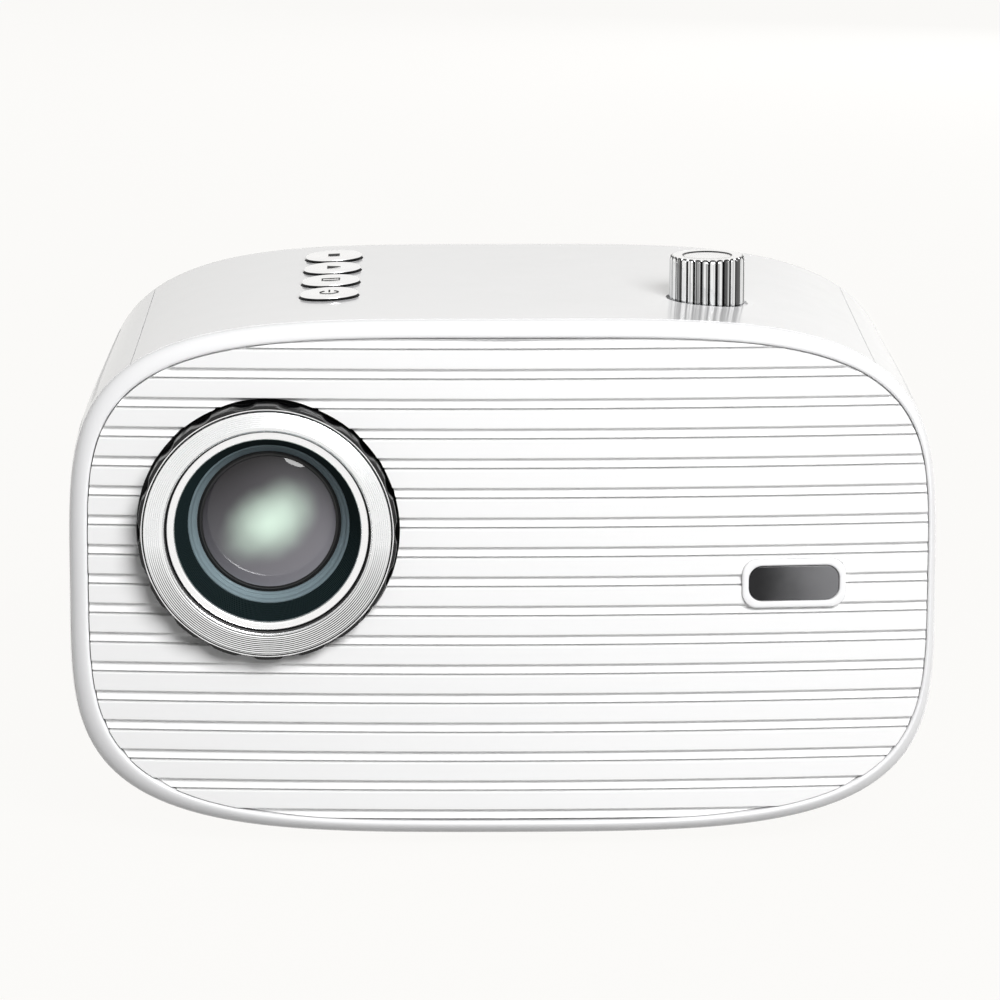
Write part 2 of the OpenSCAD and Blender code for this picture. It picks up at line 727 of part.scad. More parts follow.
glass_y = retainer_y0 + retainer_len;
seat_y = glass_y + front_glass_t + seat_gap;
rear_bore_r = 17.5;
rear_seat_r = 19.5;
rear_seat_y = barrel_end - 7;
module lens_barrel() {
    color(black) on_lens_axis([[cone_out_r, barrel_y], [barrel_r, barrel_y], [barrel_r, barrel_end],
        [rear_seat_r, barrel_end], [rear_seat_r, rear_seat_y], [rear_bore_r, rear_seat_y],
        [rear_bore_r, seat_y], [cone_in_r, seat_y], [cone_in_r, cone_y]]);
}
module barrel_trim() {
    color(chrome) on_lens_axis([[cone_out_r + 0.1, trim_y + 0.5], [cone_out_r + 0.6, trim_y],
        [barrel_r - 0.5, trim_y], [barrel_r - 0.1, trim_y + 0.4], [barrel_r - 0.1, barrel_y],
        [cone_out_r + 0.1, barrel_y]]);
}
module lens_retainer() {
    out = cone_in_r - seat_gap;
    color("#6f8488") on_lens_axis([[out, retainer_y0], [out, glass_y - seat_gap],
        [cone_in_r - retainer_w, glass_y - seat_gap], [cone_in_r - retainer_w, glass_y - 0.9],
        [out - 0.5, retainer_y0]]);
}
// Spherical cap as profile points: radius r, rim at depth y, crown c towards -Y
// when c is positive, listed from the axis outwards
lens_steps = 10;
function cap_points(r, y, c) =
    let (big = (r * r + c * c) / 2 / abs(c), s = c > 0 ? 1 : -1)
    [for (i = [0 : lens_steps])
        let (x = r * i / lens_steps) [x, y - s * (sqrt(big * big - x * x) - (big - abs(c)))]];
function back_points(r, y, c) = [for (i = [0 : lens_steps])
    cap_points(r, y, c)[lens_steps - i]];
module front_lens() {
    rim = cone_in_r - retainer_w - 0.3;
    color(glass) on_lens_axis(concat(cap_points(rim, glass_y, front_glass_crown),
        [[front_glass_r, glass_y], [front_glass_r, glass_y + front_glass_t],
         [rear_bore_r - 1, glass_y + front_glass_t]],
        back_points(rear_bore_r - 1.2, glass_y + front_glass_t, 1.5)));
}
middle_y = seat_y + 12;
module middle_lens() {
    r = rear_bore_r - seat_gap;
    color(glass) on_lens_axis(concat(cap_points(r, middle_y, 2.5),
        back_points(r, middle_y + 3.5, -2)));
}
module rear_lens() {
    r = rear_seat_r - seat_gap;
    color(glass) on_lens_axis(concat(cap_points(r, rear_seat_y + seat_gap + 2, 1.6),
        back_points(r, rear_seat_y + 5.4, -1.2)));
}

// ---- Light path ----------------------------------------------------------------
// The light runs from the source at the right to the mirror, then forward
light_z0 = lens_up - light_h / 2;
light_z1 = lens_up + light_h / 2;
light_y0 = light_y - light_w / 2;
light_y1 = light_y + light_w / 2;
box_left = -lens_left - light_w / 2;
box_front = barrel_end + focus_travel + 1;
fold = light_y + lens_left + light_wall * 2;
box_right = -lens_left + light_w / 2 + 1.5;
module box_plan(g, right) {
    e = g * sqrt(2);
    polygon([[box_left - g, box_front - g], [box_right + g, box_front - g],
        [box_right + g, light_y0 - g], [right, light_y0 - g], [right, light_y1 + g],
        [light_y1 + g - fold - e, light_y1 + g], [box_left - g, box_left - g + fold + e]]);
}
box_hole_r = barrel_r + 0.6;
module light_box() {
    color("#2a2a2d") difference() {
        at(0, 0, light_z0 - light_wall) linear_extrude(height = light_h + 2 * light_wall)
            box_plan(light_wall, light_right);
        at(0, 0, light_z0) linear_extrude(height = light_h) box_plan(0, light_right + 1);
        rod_y(-lens_left, box_front - light_wall - 1, box_front + 1, lens_up, box_hole_r, round_fn);
    }
}
mirror_len = 68;
module folding_mirror() {
    // Plate against the slanted wall, its face at 45 degrees to the lens axis
    mid = (fold - light_y - lens_left) / 2;
    color("#c7ccd0") at(-lens_left - mid, light_y + mid, lens_up) rotate([0, 0, 45])
        translate([-mirror_len / 2, -mirror_t - seat_gap, -light_h / 2 + seat_gap])
            cube([mirror_len, mirror_t, light_h - 2 * seat_gap]);
}
module light_plate(x, t, tone) {
    color(tone) block(x, x + t, light_y0 + seat_gap, light_y1 - seat_gap,
        light_z0 + seat_gap, light_z1 - seat_gap);
}
lcd_x = -28;
fresnel_t = 2;
fresnel_x = [lcd_x - 4, lcd_x + lcd_t + 6];
heat_glass_x = -6;
heat_glass_t = 3;
module lcd_panel() {
    color("#20242b") difference() {
        light_plate(lcd_x, lcd_t, "#20242b");
        for (x = [lcd_x - 1, lcd_x + lcd_t - 1])
            block(x, x + 2, light_y0 + 4, light_y1 - 4, light_z0 + 12, light_z1 - 12);
    }
}
module fresnel_lenses() {
    for (x = fresnel_x) light_plate(x, fresnel_t, glass);
}
module heat_glass() {
    light_plate(heat_glass_x, heat_glass_t, "#9fc4c0");
}
condenser_x = 6;
condenser_r = light_w / 2 - seat_gap;
module condenser_lens() {
    // Plano-convex glass, flat side towards the light source
    color(glass) at(condenser_x, light_y, lens_up) rotate([0, 90, 0])
        rotate_extrude($fn = round_fn) polygon(concat([[0, 15], [condenser_r, 15]],
            [for (i = [lens_steps : -1 : 0])
                let (x = condenser_r * i / lens_steps, big = condenser_r * 1.5)
                [x, 13 - sqrt(big * big - x * x) + sqrt(big * big - condenser_r * condenser_r)]]));
}
led_x = light_right - 3.2;
sink_x0 = light_right + 0.2;
sink_x1 = sink_x0 + sink_len;
sink_base = 4;
module led_module() {
    color("#d9c27a") {
        block(led_x, sink_x0 - seat_gap, light_y - 20, light_y + 20, lens_up - 20, lens_up + 20);
        rod_x(led_x - 1.2, led_x + 0.5, light_y, lens_up, 12, 48);
    }
}
fan_x0 = sink_x1 + 0.3;
fan_x1 = fan_x0 + fan_t;
module heat_sink() {
    half = fan_w / 2 - 1;
    color(steel) {
        block(sink_x0, sink_x0 + sink_base, light_y - half, light_y + half, lens_up - half, lens_up + half);
        for (i = [0 : sink_fins - 1]) {
            y = light_y - half + (2 * half - fin_t) * i / (sink_fins - 1);
            block(sink_x0 + sink_base - 0.5, sink_x1, y, y + fin_t, lens_up - half, lens_up + half);
        }
    }
}
fan_bore_r = fan_w / 2 - 1.4;
fan_hub_r = 13;
fan_screw = fan_w / 2 - 5;
fan_pin_r = 1.5;
fan_back_t = 2.4;
module fan_frame() {
    color(black) {
        difference() {
            block(fan_x0, fan_x1, light_y - fan_w / 2, light_y + fan_w / 2,
                lens_up - fan_w / 2, lens_up + fan_w / 2);
            rod_x(fan_x0 - 1, fan_x1 + 1, light_y, lens_up, fan_bore_r, round_fn);
            for (y = [-1, 1], z = [-1, 1])
                rod_x(fan_x0 - 1, fan_x1 + 1, light_y + y * fan_screw, lens_up + z * fan_screw, 2.1, 24);
        }
        difference() {
            union() {
                rod_x(fan_x1 - fan_back_t, fan_x1, light_y, lens_up, fan_hub_r, 48);
                for (a = [45, 135]) at(fan_x1 - fan_back_t, light_y, lens_up) rotate([a, 0, 0])
                    translate([0, -fan_bore_r - 1, -1.6]) cube([fan_back_t, 2 * fan_bore_r + 2, 3.2]);
            }
            rod_x(fan_x0, fan_x1 + 1, light_y, lens_up, fan_pin_r + run_gap);
        }
    }
}
fan_blades = 7;
module fan_rotor() {
    x0 = fan_x0 + 2;
    x1 = fan_x1 - fan_back_t - 0.8;
    color("#3a3a3d") {
        rod_x(x0, x1, light_y, lens_up, fan_hub_r, 48);
        rod_x(x1 - 1, fan_x1 - 0.4, light_y, lens_up, fan_pin_r);
        intersection() {
            rod_x(x0 + 0.5, x1 - 0.5, light_y, lens_up, fan_bore_r - 0.8, round_fn);
            for (i = [0 : fan_blades - 1])
                at((x0 + x1) / 2, light_y, lens_up) rotate([360 * i / fan_blades, 0, 0])
                    translate([0, 0, fan_hub_r - 1]) rotate([0, 0, 48])
                        translate([-0.7, -12, 0]) cube([1.4, 24, fan_bore_r - fan_hub_r + 2]);
        }
    }
}

// Inner deck: carries the light box, the heat sink, the fan, the loudspeakers
// and the boards, and holds the disc drive down
deck_x0 = 13.3 - body_w / 2;
deck_x1 = body_w / 2 - 14.3;
deck_y0 = 14;
deck_y1 = body_d - 7;
main_x1 = body_w / 2 - 18.3;
main_x0 = main_x1 - 120;
main_y0 = 17;
main_y1 = 58;
board_z = deck_z1 + 5;
port_x0 = usb_x - 16;
port_x1 = jack_x[1] + 6;
port_y1 = body_d - 5;
port_y0 = port_y1 - 15;
speaker_x = body_w / 2 - 4.3;
bracket_t = 2;
module board_posts(x0, x1, y0, y1, inset) {
    for (x = [x0 + inset, x1 - inset], y = [y0 + inset, y1 - inset])
        post(x, y, deck_z1 - 0.5, board_z, 2.5);
}
module speaker_bracket(side, y) {
    x = side * (speaker_x - 2 - seat_gap - bracket_t / 2);
    difference() {
        union() {
            block(x - bracket_t / 2, x + bracket_t / 2, y - speaker_r - 1.5, y + speaker_r + 1.5,
                deck_z0, speaker_z);
            rod_x(x - bracket_t / 2, x + bracket_t / 2, y, speaker_z, speaker_r + 1.5, round_fn);
        }
        rod_x(-body_w, body_w, y, speaker_z, speaker_r - 2.6, round_fn);
    }
    inner = side * (body_w / 2 - 16.3);
    block(min(inner, x), max(inner, x), y - speaker_r - 1.5, y + speaker_r + 1.5,
        deck_z0, deck_z1);
}
module inner_deck() {
    color("#c8c9cb") {
        difference() {
            union() {
                block(deck_x0, deck_x1, deck_y0, deck_y1, deck_z0, deck_z1);
                for (x = column_x, y = column_y)
                    post(x, y, column_z + seat_gap, deck_z0 + 0.5, column_r);
            }
            for (x = column_x, y = column_y)
                post(x, y, column_z - 1, column_z + screw_bite + 1, screw_r);
        }
        for (x = [box_left + 6, -20, light_right - 8], y = [light_y - 20, light_y + 20])
            post(x, y, deck_z1 - 0.5, light_z0 - light_wall - seat_gap, 4);
        for (y = [light_y - 18, light_y + 18]) {
            block(sink_x0 + 8, sink_x1 - 6, y - 3, y + 3, deck_z1 - 0.5,
                lens_up - fan_w / 2 + 1 - seat_gap);
            block(fan_x0 + 3, fan_x1 - 3, y - 3, y + 3, deck_z1 - 0.5,
                lens_up - fan_w / 2 - seat_gap);
        }
        board_posts(main_x0, main_x1, main_y0, main_y1, board_inset);
        for (x = [port_x0 + board_inset, port_x1 - board_inset])
            post(x, port_y0 + board_inset, deck_z1 - 0.5, board_z, 2.5);
        speaker_bracket(-1, left_speaker_y);
        speaker_bracket(1, right_speaker_y);
    }
}

// ---- Controls --------------------------------------------------------------------
stem_r = 2.2;
module control_button(i) {
    // Dished cap tilted with the top, on a round skirt and a stem
    base = button_roof - 3.1;
    stem_z = button_board_z + board_t + switch_h + plunger_h + button_travel + 0.1;
    top = button_roof + button_proud;
    color(chrome) at(-button_left, button_depth(i), 0) {
        intersection() {
            translate([0, 0, base]) cylinder(r = button_r, h = 10, $fn = round_fn);
            translate([0, 0, top]) rotate([0, -button_tilt, 0]) rotate_extrude($fn = round_fn)
                polygon([[0, -0.25], [4, -0.12], [6.2, 0.1], [button_r - 0.9, 0], [button_r - 0.2, -0.5],
                    [button_r + 0.6, -1.4], [button_r + 2, -1.6], [button_r + 2, -9], [0, -9]]);
        }
        translate([0, 0, base - 0.9]) cylinder(r = button_r + 1.2, h = 1, $fn = round_fn);
        translate([0, 0, stem_z]) cylinder(r = stem_r, h = base - 0.5 - stem_z, $fn = small_fn);
    }
}
module power_button() { control_button(0); }
module source_button() { control_button(1); }
module play_button() { control_button(2); }
module stop_button() { control_button(3); }
module button_board() {
    top = button_board_z + board_t - seat_gap;
    color(board_green) {
        block(-button_left - button_board_w / 2, -button_left + button_board_w / 2,
            button_board_y0, button_board_y1, button_board_z - seat_gap, top);
        for (i = [0 : 3]) {
            block(-button_left - 3, -button_left + 3, button_depth(i) - 3, button_depth(i) + 3,
                top - 0.1, top + switch_h);
            post(-button_left, button_depth(i), top + switch_h - 0.2, top + switch_h + plunger_h, 1.75);
        }
    }
}
knob_z0 = well_z + free_gap;
shaft_len = 22;
pot_z1 = well_z - well_pad - seat_gap;
pot_h = 9;
module volume_knob() {
    flute_r = 0.62;
    color(chrome) difference() {
        at(knob_x, knob_y, 0) rotate_extrude($fn = round_fn)
            polygon([[0, knob_z0 + 4.2], [0, knob_top - 0.35], [knob_r * 0.62, knob_top - 0.35],
                [knob_r * 0.66, knob_top], [knob_r - 0.7, knob_top], [knob_r, knob_top - 0.7],
                [knob_r, knob_z0 + 0.4], [knob_r - 0.4, knob_z0], [knob_r - 1.6, knob_z0],
                [knob_r - 1.6, knob_z0 + 4.2]]);
        for (i = [0 : knob_flutes - 1])
            at(knob_x, knob_y, 0) rotate([0, 0, 360 * i / knob_flutes])
                translate([knob_r + flute_r * 0.35, 0, knob_z0 - 1])
                    cylinder(r = flute_r, h = knob_top - knob_z0 - 0.2, $fn = 16);
        post(knob_x, knob_y, knob_z0, knob_top - 2, shaft_r);
    }
}
module knob_shaft() {
    color(steel) post(knob_x, knob_y, knob_top - 2.2 - shaft_len, knob_top - 2.2, shaft_r);
}
module volume_pot() {
    shaft_z = knob_top - 2.2 - shaft_len;
    color("#4a6a8c") difference() {
        union() {
            block(knob_x - 8, knob_x + 8, knob_y - 8, knob_y + 8, pot_z1 - pot_h, pot_z1);
            post(knob_x, knob_y, pot_z1 - 1, well_z + 1.2, bushing_r);
        }
        post(knob_x, knob_y, shaft_z - 0.5, knob_top, shaft_r + run_gap);
    }
}

// ---- Disc drive ------------------------------------------------------------------
drive_z1 = drive_z + drive_h / 2;
drive_y1 = body_d - 5;
module drive_chassis() {
    top = drive_z1 - drive_sheet;
    color(steel) difference() {
        block(drive_x0, drive_x1, drive_y0, drive_y1, drive_z0, top);
        block(drive_x0 + drive_sheet, drive_x1 - drive_sheet, drive_y0 + drive_sheet, drive_y1 + 1,
            drive_z0 + drive_sheet, top + 1);
        for (x = drive_boss_x, y = drive_boss_y) post(x, y, drive_z0 - 1, drive_z0 + 2, screw_r);
    }
}
module drive_cover() {
    color(steel) block(drive_x0, drive_x1, drive_y0, drive_y1, drive_z1 - drive_sheet, drive_z1);
}
// The tray: a plate with the disc recess on a narrower hollow body, beside
// which the rails run
tray_y1 = body_d - bezel_t - seat_gap;
tray_y0 = tray_y1 - tray_len;
hub_y = tray_y1 - disc_r - disc_gap - 1;
tray_z1 = drive_z1 - drive_sheet - 2.4;
tray_plate = 2.6;
tray_under = tray_z1 - tray_plate;
recess_z = tray_z1 - disc_recess;
tray_z0 = drive_z0 + drive_sheet + free_gap;
rail_w = 2.8;
rail_gap = 0.5;
tray_body_w = tray_w - 2 * (rail_w + rail_gap);
hub_hole_r = 17;
sled_w = 32;
sled_len = 14;
sled_in = 16;
motor_r = 12;
rod_r = 1.2;
rod_off = 12;
rod_z = tray_z0 + 2.9;
lead_r = 1.5;
lead_off = 18;
sled_slot = lead_off + 3;
slot_y0 = hub_y - sled_in - sled_len - sled_travel - 0.5;
motor_plate = 0.8;
plate_half = hub_hole_r + 4;
holder_y = hub_y - sled_in + 1.9;
eject_x = drive_x + 34;
eject_w = 12;
eject_h = 3;
module disc_tray() {
    color("#2b2b2e") difference() {
        union() {
            block(drive_x - tray_w / 2, drive_x + tray_w / 2, tray_y0, tray_y1, tray_under, tray_z1);
            block(drive_x - tray_body_w / 2, drive_x + tray_body_w / 2, tray_y0, tray_y1,
                tray_z0, tray_under + 0.1);
        }
        post(drive_x, hub_y, recess_z, tray_z1 + 1, disc_r + disc_gap, 120);
        post(drive_x, hub_y, tray_z0 - 1, tray_z1, hub_hole_r, round_fn);
        block(drive_x - sled_slot, drive_x + sled_slot, slot_y0, hub_y, tray_z0 - 1, tray_z1);
        block(drive_x - plate_half - seat_gap, drive_x + plate_half + seat_gap,
            holder_y - 3, hub_y + plate_half + seat_gap, tray_z0 - 1, tray_z0 + motor_plate);
        for (x = [-rod_off, rod_off])
            rod_y(drive_x + x, slot_y0 - 2, slot_y0 + 1, rod_z, rod_r + seat_gap);
        rod_y(drive_x + lead_off, slot_y0 - 2, slot_y0 + 1, rod_z, lead_r + run_gap);
        block(drive_x - tray_body_w / 2 + 2, drive_x + tray_body_w / 2 - 2, hub_y + plate_half + 2,
            tray_y1 - 3, tray_z0 - 1, tray_under);
        for (s = [-1, 1])
            block(drive_x + (s > 0 ? plate_half + 2 : -tray_body_w / 2 + 2),
                drive_x + (s > 0 ? tray_body_w / 2 - 2 : -plate_half - 2),
                tray_y0 + 3, hub_y + plate_half + 4, tray_z0 - 1, tray_under);
        block(eject_x - eject_w / 2 - 1, eject_x + eject_w / 2 + 1, tray_y1 - 8, tray_y1 + 1,
            drive_z - eject_h / 2 - 0.5, drive_z + eject_h / 2 + 0.3);
    }
}
module tray_bezel() {
    w = tray_w + 3;
    color(white) difference() {
        at(drive_x, body_d - bezel_t, drive_z) rounded_y(w, bezel_t, bezel_h, 1);
        block(eject_x - eject_w / 2 - 0.2, eject_x + eject_w / 2 + 0.2, body_d - bezel_t - 1, body_d + 1,
            drive_z - eject_h / 2 - 0.2, drive_z + eject_h / 2 + 0.2);
    }
}
module eject_button() {
    color(pale_grey) {
        block(eject_x - eject_w / 2, eject_x + eject_w / 2, tray_y1 - 1.5, body_d + eject_proud,
            drive_z - eject_h / 2, drive_z + eject_h / 2);
        block(eject_x - eject_w / 2 - 0.8, eject_x + eject_w / 2 + 0.8, tray_y1 - 2.5, tray_y1 - 0.2,
            drive_z - eject_h / 2, drive_z + eject_h / 2);
        block(eject_x - 2, eject_x + 2, tray_y1 - 6, tray_y1 - 2,
            drive_z - eject_h / 2, drive_z + eject_h / 2);
    }
}
module tray_rails() {
    color(steel) for (s = [-1, 1]) {
        x = drive_x + s * (tray_w / 2 - rail_w / 2 - 0.1);
        block(x - rail_w / 2 + 0.1, x + rail_w / 2 - 0.1, drive_y0 + 6, drive_y1 - 0.5,
            tray_z0 + 0.4, tray_under - 0.5);
    }
}
motor_z0 = tray_z0;
motor_z1 = motor_z0 + 3.4;
module spindle_motor() {
    // Motor on its base plate, with the holder of the sled rods and the screw
    color(steel) difference() {
        union() {
            post(drive_x, hub_y, motor_z0, motor_z1, motor_r, 48);
            block(drive_x - plate_half, drive_x + plate_half, holder_y - 1.5, hub_y + plate_half,
                motor_z0, motor_z0 + motor_plate - seat_gap);
            block(drive_x - sled_slot + 0.5, drive_x + sled_slot - 0.5, holder_y - 1.5, holder_y,
                motor_z0, rod_z + 2.2);
        }
        post(drive_x, hub_y, motor_z0 - 1, motor_z1 + 1, 1 + run_gap);
        for (x = [-rod_off, rod_off]) rod_y(drive_x + x, holder_y - 3, holder_y + 2, rod_z, rod_r);
        rod_y(drive_x + lead_off, holder_y - 3, holder_y + 2, rod_z, lead_r + run_gap);
    }
}
module spindle_hub() {
    color("#1f1f22") {
        post(drive_x, hub_y, motor_z1 + 0.2, recess_z + 0.5, 10.5, 48);
        at(drive_x, hub_y, recess_z + 0.4) cylinder(r1 = 7.4, r2 = 6.6, h = 2, $fn = 48);
        post(drive_x, hub_y, motor_z0 + 0.4, motor_z1 + 0.5, 1);
    }
}
module laser_sled() {
    y1 = hub_y - sled_in;
    y0 = y1 - sled_len;
    color("#3b3f46") difference() {
        union() {
            block(drive_x - sled_w / 2, drive_x + sled_w / 2, y0, y1, rod_z - 2, rod_z + 2.2);
            block(drive_x - 8, drive_x + 8, y0 + 2, y1 - 2, rod_z, recess_z - 0.7);
            block(drive_x + sled_w / 2 - 1, drive_x + lead_off + 2.2, y0 + 4, y1 - 4,
                rod_z - 2, rod_z + 2.2);
            post(drive_x, (y0 + y1) / 2, recess_z - 1, recess_z - 0.3, 2.6);
        }
        for (x = [-rod_off, rod_off])
            rod_y(drive_x + x, y0 - 1, y1 + 1, rod_z, rod_r + run_gap);
        rod_y(drive_x + lead_off, y0 - 1, y1 + 1, rod_z, lead_r + run_gap);
    }
}
module sled_rods() {
    color(chrome) for (x = [-rod_off, rod_off])
        rod_y(drive_x + x, slot_y0 - 1.9, holder_y, rod_z, rod_r);
}
module sled_screw() {
    color("#c9a44a") rod_y(drive_x + lead_off, slot_y0 - 1.8, holder_y + 0.5, rod_z, lead_r);
}

// ---- Boards, loudspeakers and sockets ------------------------------------------
module main_board() {
    z = board_z + seat_gap;
    top = z + board_t;
    color(board_green) {
        block(main_x0, main_x1, main_y0, main_y1, z, top);
        chip_w = 28;
        sink_in = 3;
        x = main_x0 + 32;
        y = main_y0 + 9;
        block(x, x + chip_w, y, y + chip_w - 4, top - 0.2, top + 2.2);
        block(x + sink_in, x + chip_w - sink_in, y + sink_in, y + chip_w - 4 - sink_in,
            top + 2, top + 9);
        block(x + 38, x + 52, y - 2, y + 12, top - 0.2, top + 1.6);
        block(x + 60, x + 72, y + 14, y + 26, top - 0.2, top + 1.4);
        block(main_x1 - 12, main_x1 - 6, y - 4, main_y1 - 14, top - 0.2, top + 7);
        for (i = [8, 20]) post(main_x0 + i, main_y1 - 12, top - 0.2, top + 12, 4.5);
        block(main_x0 + 6, main_x0 + 24, main_y0 + 5, main_y0 + 11, top - 0.2, top + 6);
    }
}
module port_board() {
    z = board_z + seat_gap;
    color(board_green) {
        block(port_x0, port_x1, port_y0, port_y1, z, z + board_t);
    }
}
port_face = body_d - 0.4;
port_top = board_z + seat_gap + board_t + seat_gap;
module usb_hdmi_ports() {
    color(steel) {
        difference() {
            union() {
                block(hdmi_x - hdmi_w / 2, hdmi_x + hdmi_w / 2, port_face - 11, port_face,
                    port_z - hdmi_h / 2, port_z + hdmi_h / 2);
                block(hdmi_x - hdmi_w / 2, hdmi_x + hdmi_w / 2, port_face - 11, port_face - 6,
                    port_top, port_z);
            }
            block(hdmi_x - hdmi_w / 2 + 0.6, hdmi_x + hdmi_w / 2 - 0.6, port_face - 8, port_face + 1,
                port_z - hdmi_h / 2 + 0.6, port_z + hdmi_h / 2 - 0.6);
        }
        block(hdmi_x - 5.5, hdmi_x + 5.5, port_face - 8.5, port_face - 1.5, port_z - 0.1, port_z + 0.9);
        difference() {
            union() {
                block(usb_x - usb_w / 2, usb_x + usb_w / 2, port_face - 14, port_face,
                    port_z - usb_h / 2, port_z + usb_h / 2);
                block(usb_x - usb_w / 2, usb_x + usb_w / 2, port_face - 14, port_face - 8,
                    port_top, port_z);
            }
            block(usb_x - usb_w / 2 + 0.6, usb_x + usb_w / 2 - 0.6, port_face - 11, port_face + 1,
                port_z - usb_h / 2 + 0.6, port_z + usb_h / 2 - 0.6);
        }
        block(usb_x - 5.6, usb_x + 5.6, port_face - 11.5, port_face - 1.5, port_z + 0.2, port_z + 2);
    }
}
module av_jacks() {
    color(black) for (x = jack_x) difference() {
        union() {
            rod_y(x, port_face - 13, port_face, port_z, jack_r);
            block(x - 4.5, x + 4.5, port_face - 13, port_face - 5, port_top, port_z);
        }
        rod_y(x, port_face - 12, port_face + 1, port_z, 1.8);
    }
}
module power_inlet() {
    y1 = body_d - 0.3;
    color(black) {
        difference() {
            union() {
                block(inlet_x - inlet_w / 2 - 1.5, inlet_x + inlet_w / 2 + 1.5, y1 - 16, y1,
                    inlet_z - inlet_h / 2 - 1.5, inlet_z + inlet_h / 2 + 1.5);
                block(inlet_x - 5, inlet_x + 3, y1 - 21, y1 - 10, power_z + board_t + 2 * seat_gap, inlet_z);
            }
            block(inlet_x - inlet_w / 2, inlet_x + inlet_w / 2, y1 - 12, y1 + 1,
                inlet_z - inlet_h / 2, inlet_z + inlet_h / 2);
        }
        for (x = [-4.3, 4.3]) rod_y(inlet_x + x, y1 - 13, y1 - 1.5, inlet_z, 1.2, 24);
    }
}
module power_board() {
    z = power_z + seat_gap;
    top = z + board_t;
    color(board_green) {
        block(power_x0, power_x1, power_y0, power_y1, z, top);
        x = power_x0;
        y = power_y0 + 16;
        block(x + 1, x + 18, y + 22, y + 46, top - 0.2, top + 16);
        post(x + 9, y + 4, top - 0.2, top + 16, 7);
        post(power_x1 - 6, y, top - 0.2, top + 14, 5);
        block(power_x1 - 6, power_x1 - 2, y + 12, y + 54, top - 0.2, top + 15);
        block(x + 1, x + 13, y + 56, y + 66, top - 0.2, top + 12);
        post(power_x1 - 7, y + 64, top - 0.2, top + 10, 5);
    }
}
module speaker(side, y) {
    color("#26262a") at(side * speaker_x, y, speaker_z)
        rotate([0, side * 90, 0]) rotate_extrude($fn = round_fn)
            polygon([[0, -speaker_d], [11, -speaker_d], [11, -speaker_d + 6], [speaker_r - 3, -3],
                [speaker_r - 3, -2], [speaker_r, -2], [speaker_r, 0], [speaker_r - 2.5, 0],
                [speaker_r - 3.4, -1.2], [7, -5.5], [0, -4]]);
}
module left_speaker() { speaker(-1, left_speaker_y); }
module right_speaker() { speaker(1, right_speaker_y); }

front_rim();
ribbed_front_panel();
top_cover();
bottom_case();
left_side_panel();
right_side_panel();
rear_panel();
ir_bezel();
ir_window();
ir_receiver();
lens_mount();
focus_ring_grip();
focus_ring_face();
lens_barrel();
barrel_trim();
lens_retainer();
front_lens();
middle_lens();
rear_lens();
light_box();
folding_mirror();
lcd_panel();
fresnel_lenses();
heat_glass();
condenser_lens();
led_module();
heat_sink();
fan_frame();
fan_rotor();
inner_deck();
power_button();
source_button();
play_button();
stop_button();
button_board();
volume_knob();
knob_shaft();
volume_pot();
drive_chassis();
drive_cover();
disc_tray();
tray_bezel();
eject_button();
tray_rails();
spindle_motor();
spindle_hub();
laser_sled();
sled_rods();
sled_screw();
main_board();
port_board();
power_board();
left_speaker();
right_speaker();
usb_hdmi_ports();
av_jacks();
power_inlet();
rubber_feet();
tripod_insert();
case_screws();
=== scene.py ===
import json
import math
from contextlib import contextmanager
from types import SimpleNamespace

import bmesh
import bpy
import numpy as np
from mathutils import Matrix, Vector

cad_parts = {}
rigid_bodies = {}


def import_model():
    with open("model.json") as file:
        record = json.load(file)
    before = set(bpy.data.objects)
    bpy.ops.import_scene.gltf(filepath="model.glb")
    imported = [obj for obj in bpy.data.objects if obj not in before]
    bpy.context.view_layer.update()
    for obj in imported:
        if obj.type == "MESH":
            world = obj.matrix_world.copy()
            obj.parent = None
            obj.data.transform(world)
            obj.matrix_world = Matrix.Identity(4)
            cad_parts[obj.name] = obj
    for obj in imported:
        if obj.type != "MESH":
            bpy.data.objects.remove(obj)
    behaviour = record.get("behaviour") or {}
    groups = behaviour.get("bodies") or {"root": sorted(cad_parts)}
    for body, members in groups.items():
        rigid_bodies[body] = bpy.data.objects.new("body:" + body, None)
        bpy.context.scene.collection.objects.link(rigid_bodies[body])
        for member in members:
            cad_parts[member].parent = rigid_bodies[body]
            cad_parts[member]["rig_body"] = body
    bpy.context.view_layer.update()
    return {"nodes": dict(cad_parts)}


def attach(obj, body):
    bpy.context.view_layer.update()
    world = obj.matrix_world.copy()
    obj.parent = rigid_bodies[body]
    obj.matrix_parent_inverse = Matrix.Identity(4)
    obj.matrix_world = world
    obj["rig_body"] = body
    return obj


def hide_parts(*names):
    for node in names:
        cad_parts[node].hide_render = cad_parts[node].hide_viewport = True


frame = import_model()
nodes = frame["nodes"]
mm = 0.001

# Sizes of the body in millimetres, the same as in the part's source
body = SimpleNamespace(width=232.6, height=140.8, depth=143, squareness=4, sideSwell=3, swellLean=1.6,
                       belly=4, swellPower=0.55, frontBow=6, rearRadius=12, wall=2.2, seam=0.22,
                       seamAngle=43.4, frontY=-69.65, midZ=76.4)
print("frame loaded:", len(nodes), "nodes")


# ---- small helpers ----
def toLinear(text):
    # sRGB hex to the linear colour that the shader sockets take
    parts = [int(text[i:i + 2], 16) / 255 for i in (0, 2, 4)]
    return [c / 12.92 if c <= 0.04045 else ((c + 0.055) / 1.055) ** 2.4 for c in parts] + [1.0]


def addNode(tree, kind, settings=None, links=None):
    # settings go to the node's own properties or to its sockets; links are socket: source, where a
    # node stands for its first output
    node = tree.nodes.new(kind)
    for key, value in (settings or {}).items():
        if isinstance(key, str) and hasattr(node, key):
            setattr(node, key, value)
        else:
            node.inputs[key].default_value = value
    for key, source in (links or {}).items():
        output = source.outputs[0] if isinstance(source, bpy.types.Node) else source
        tree.links.new(output, node.inputs[key])
    return node


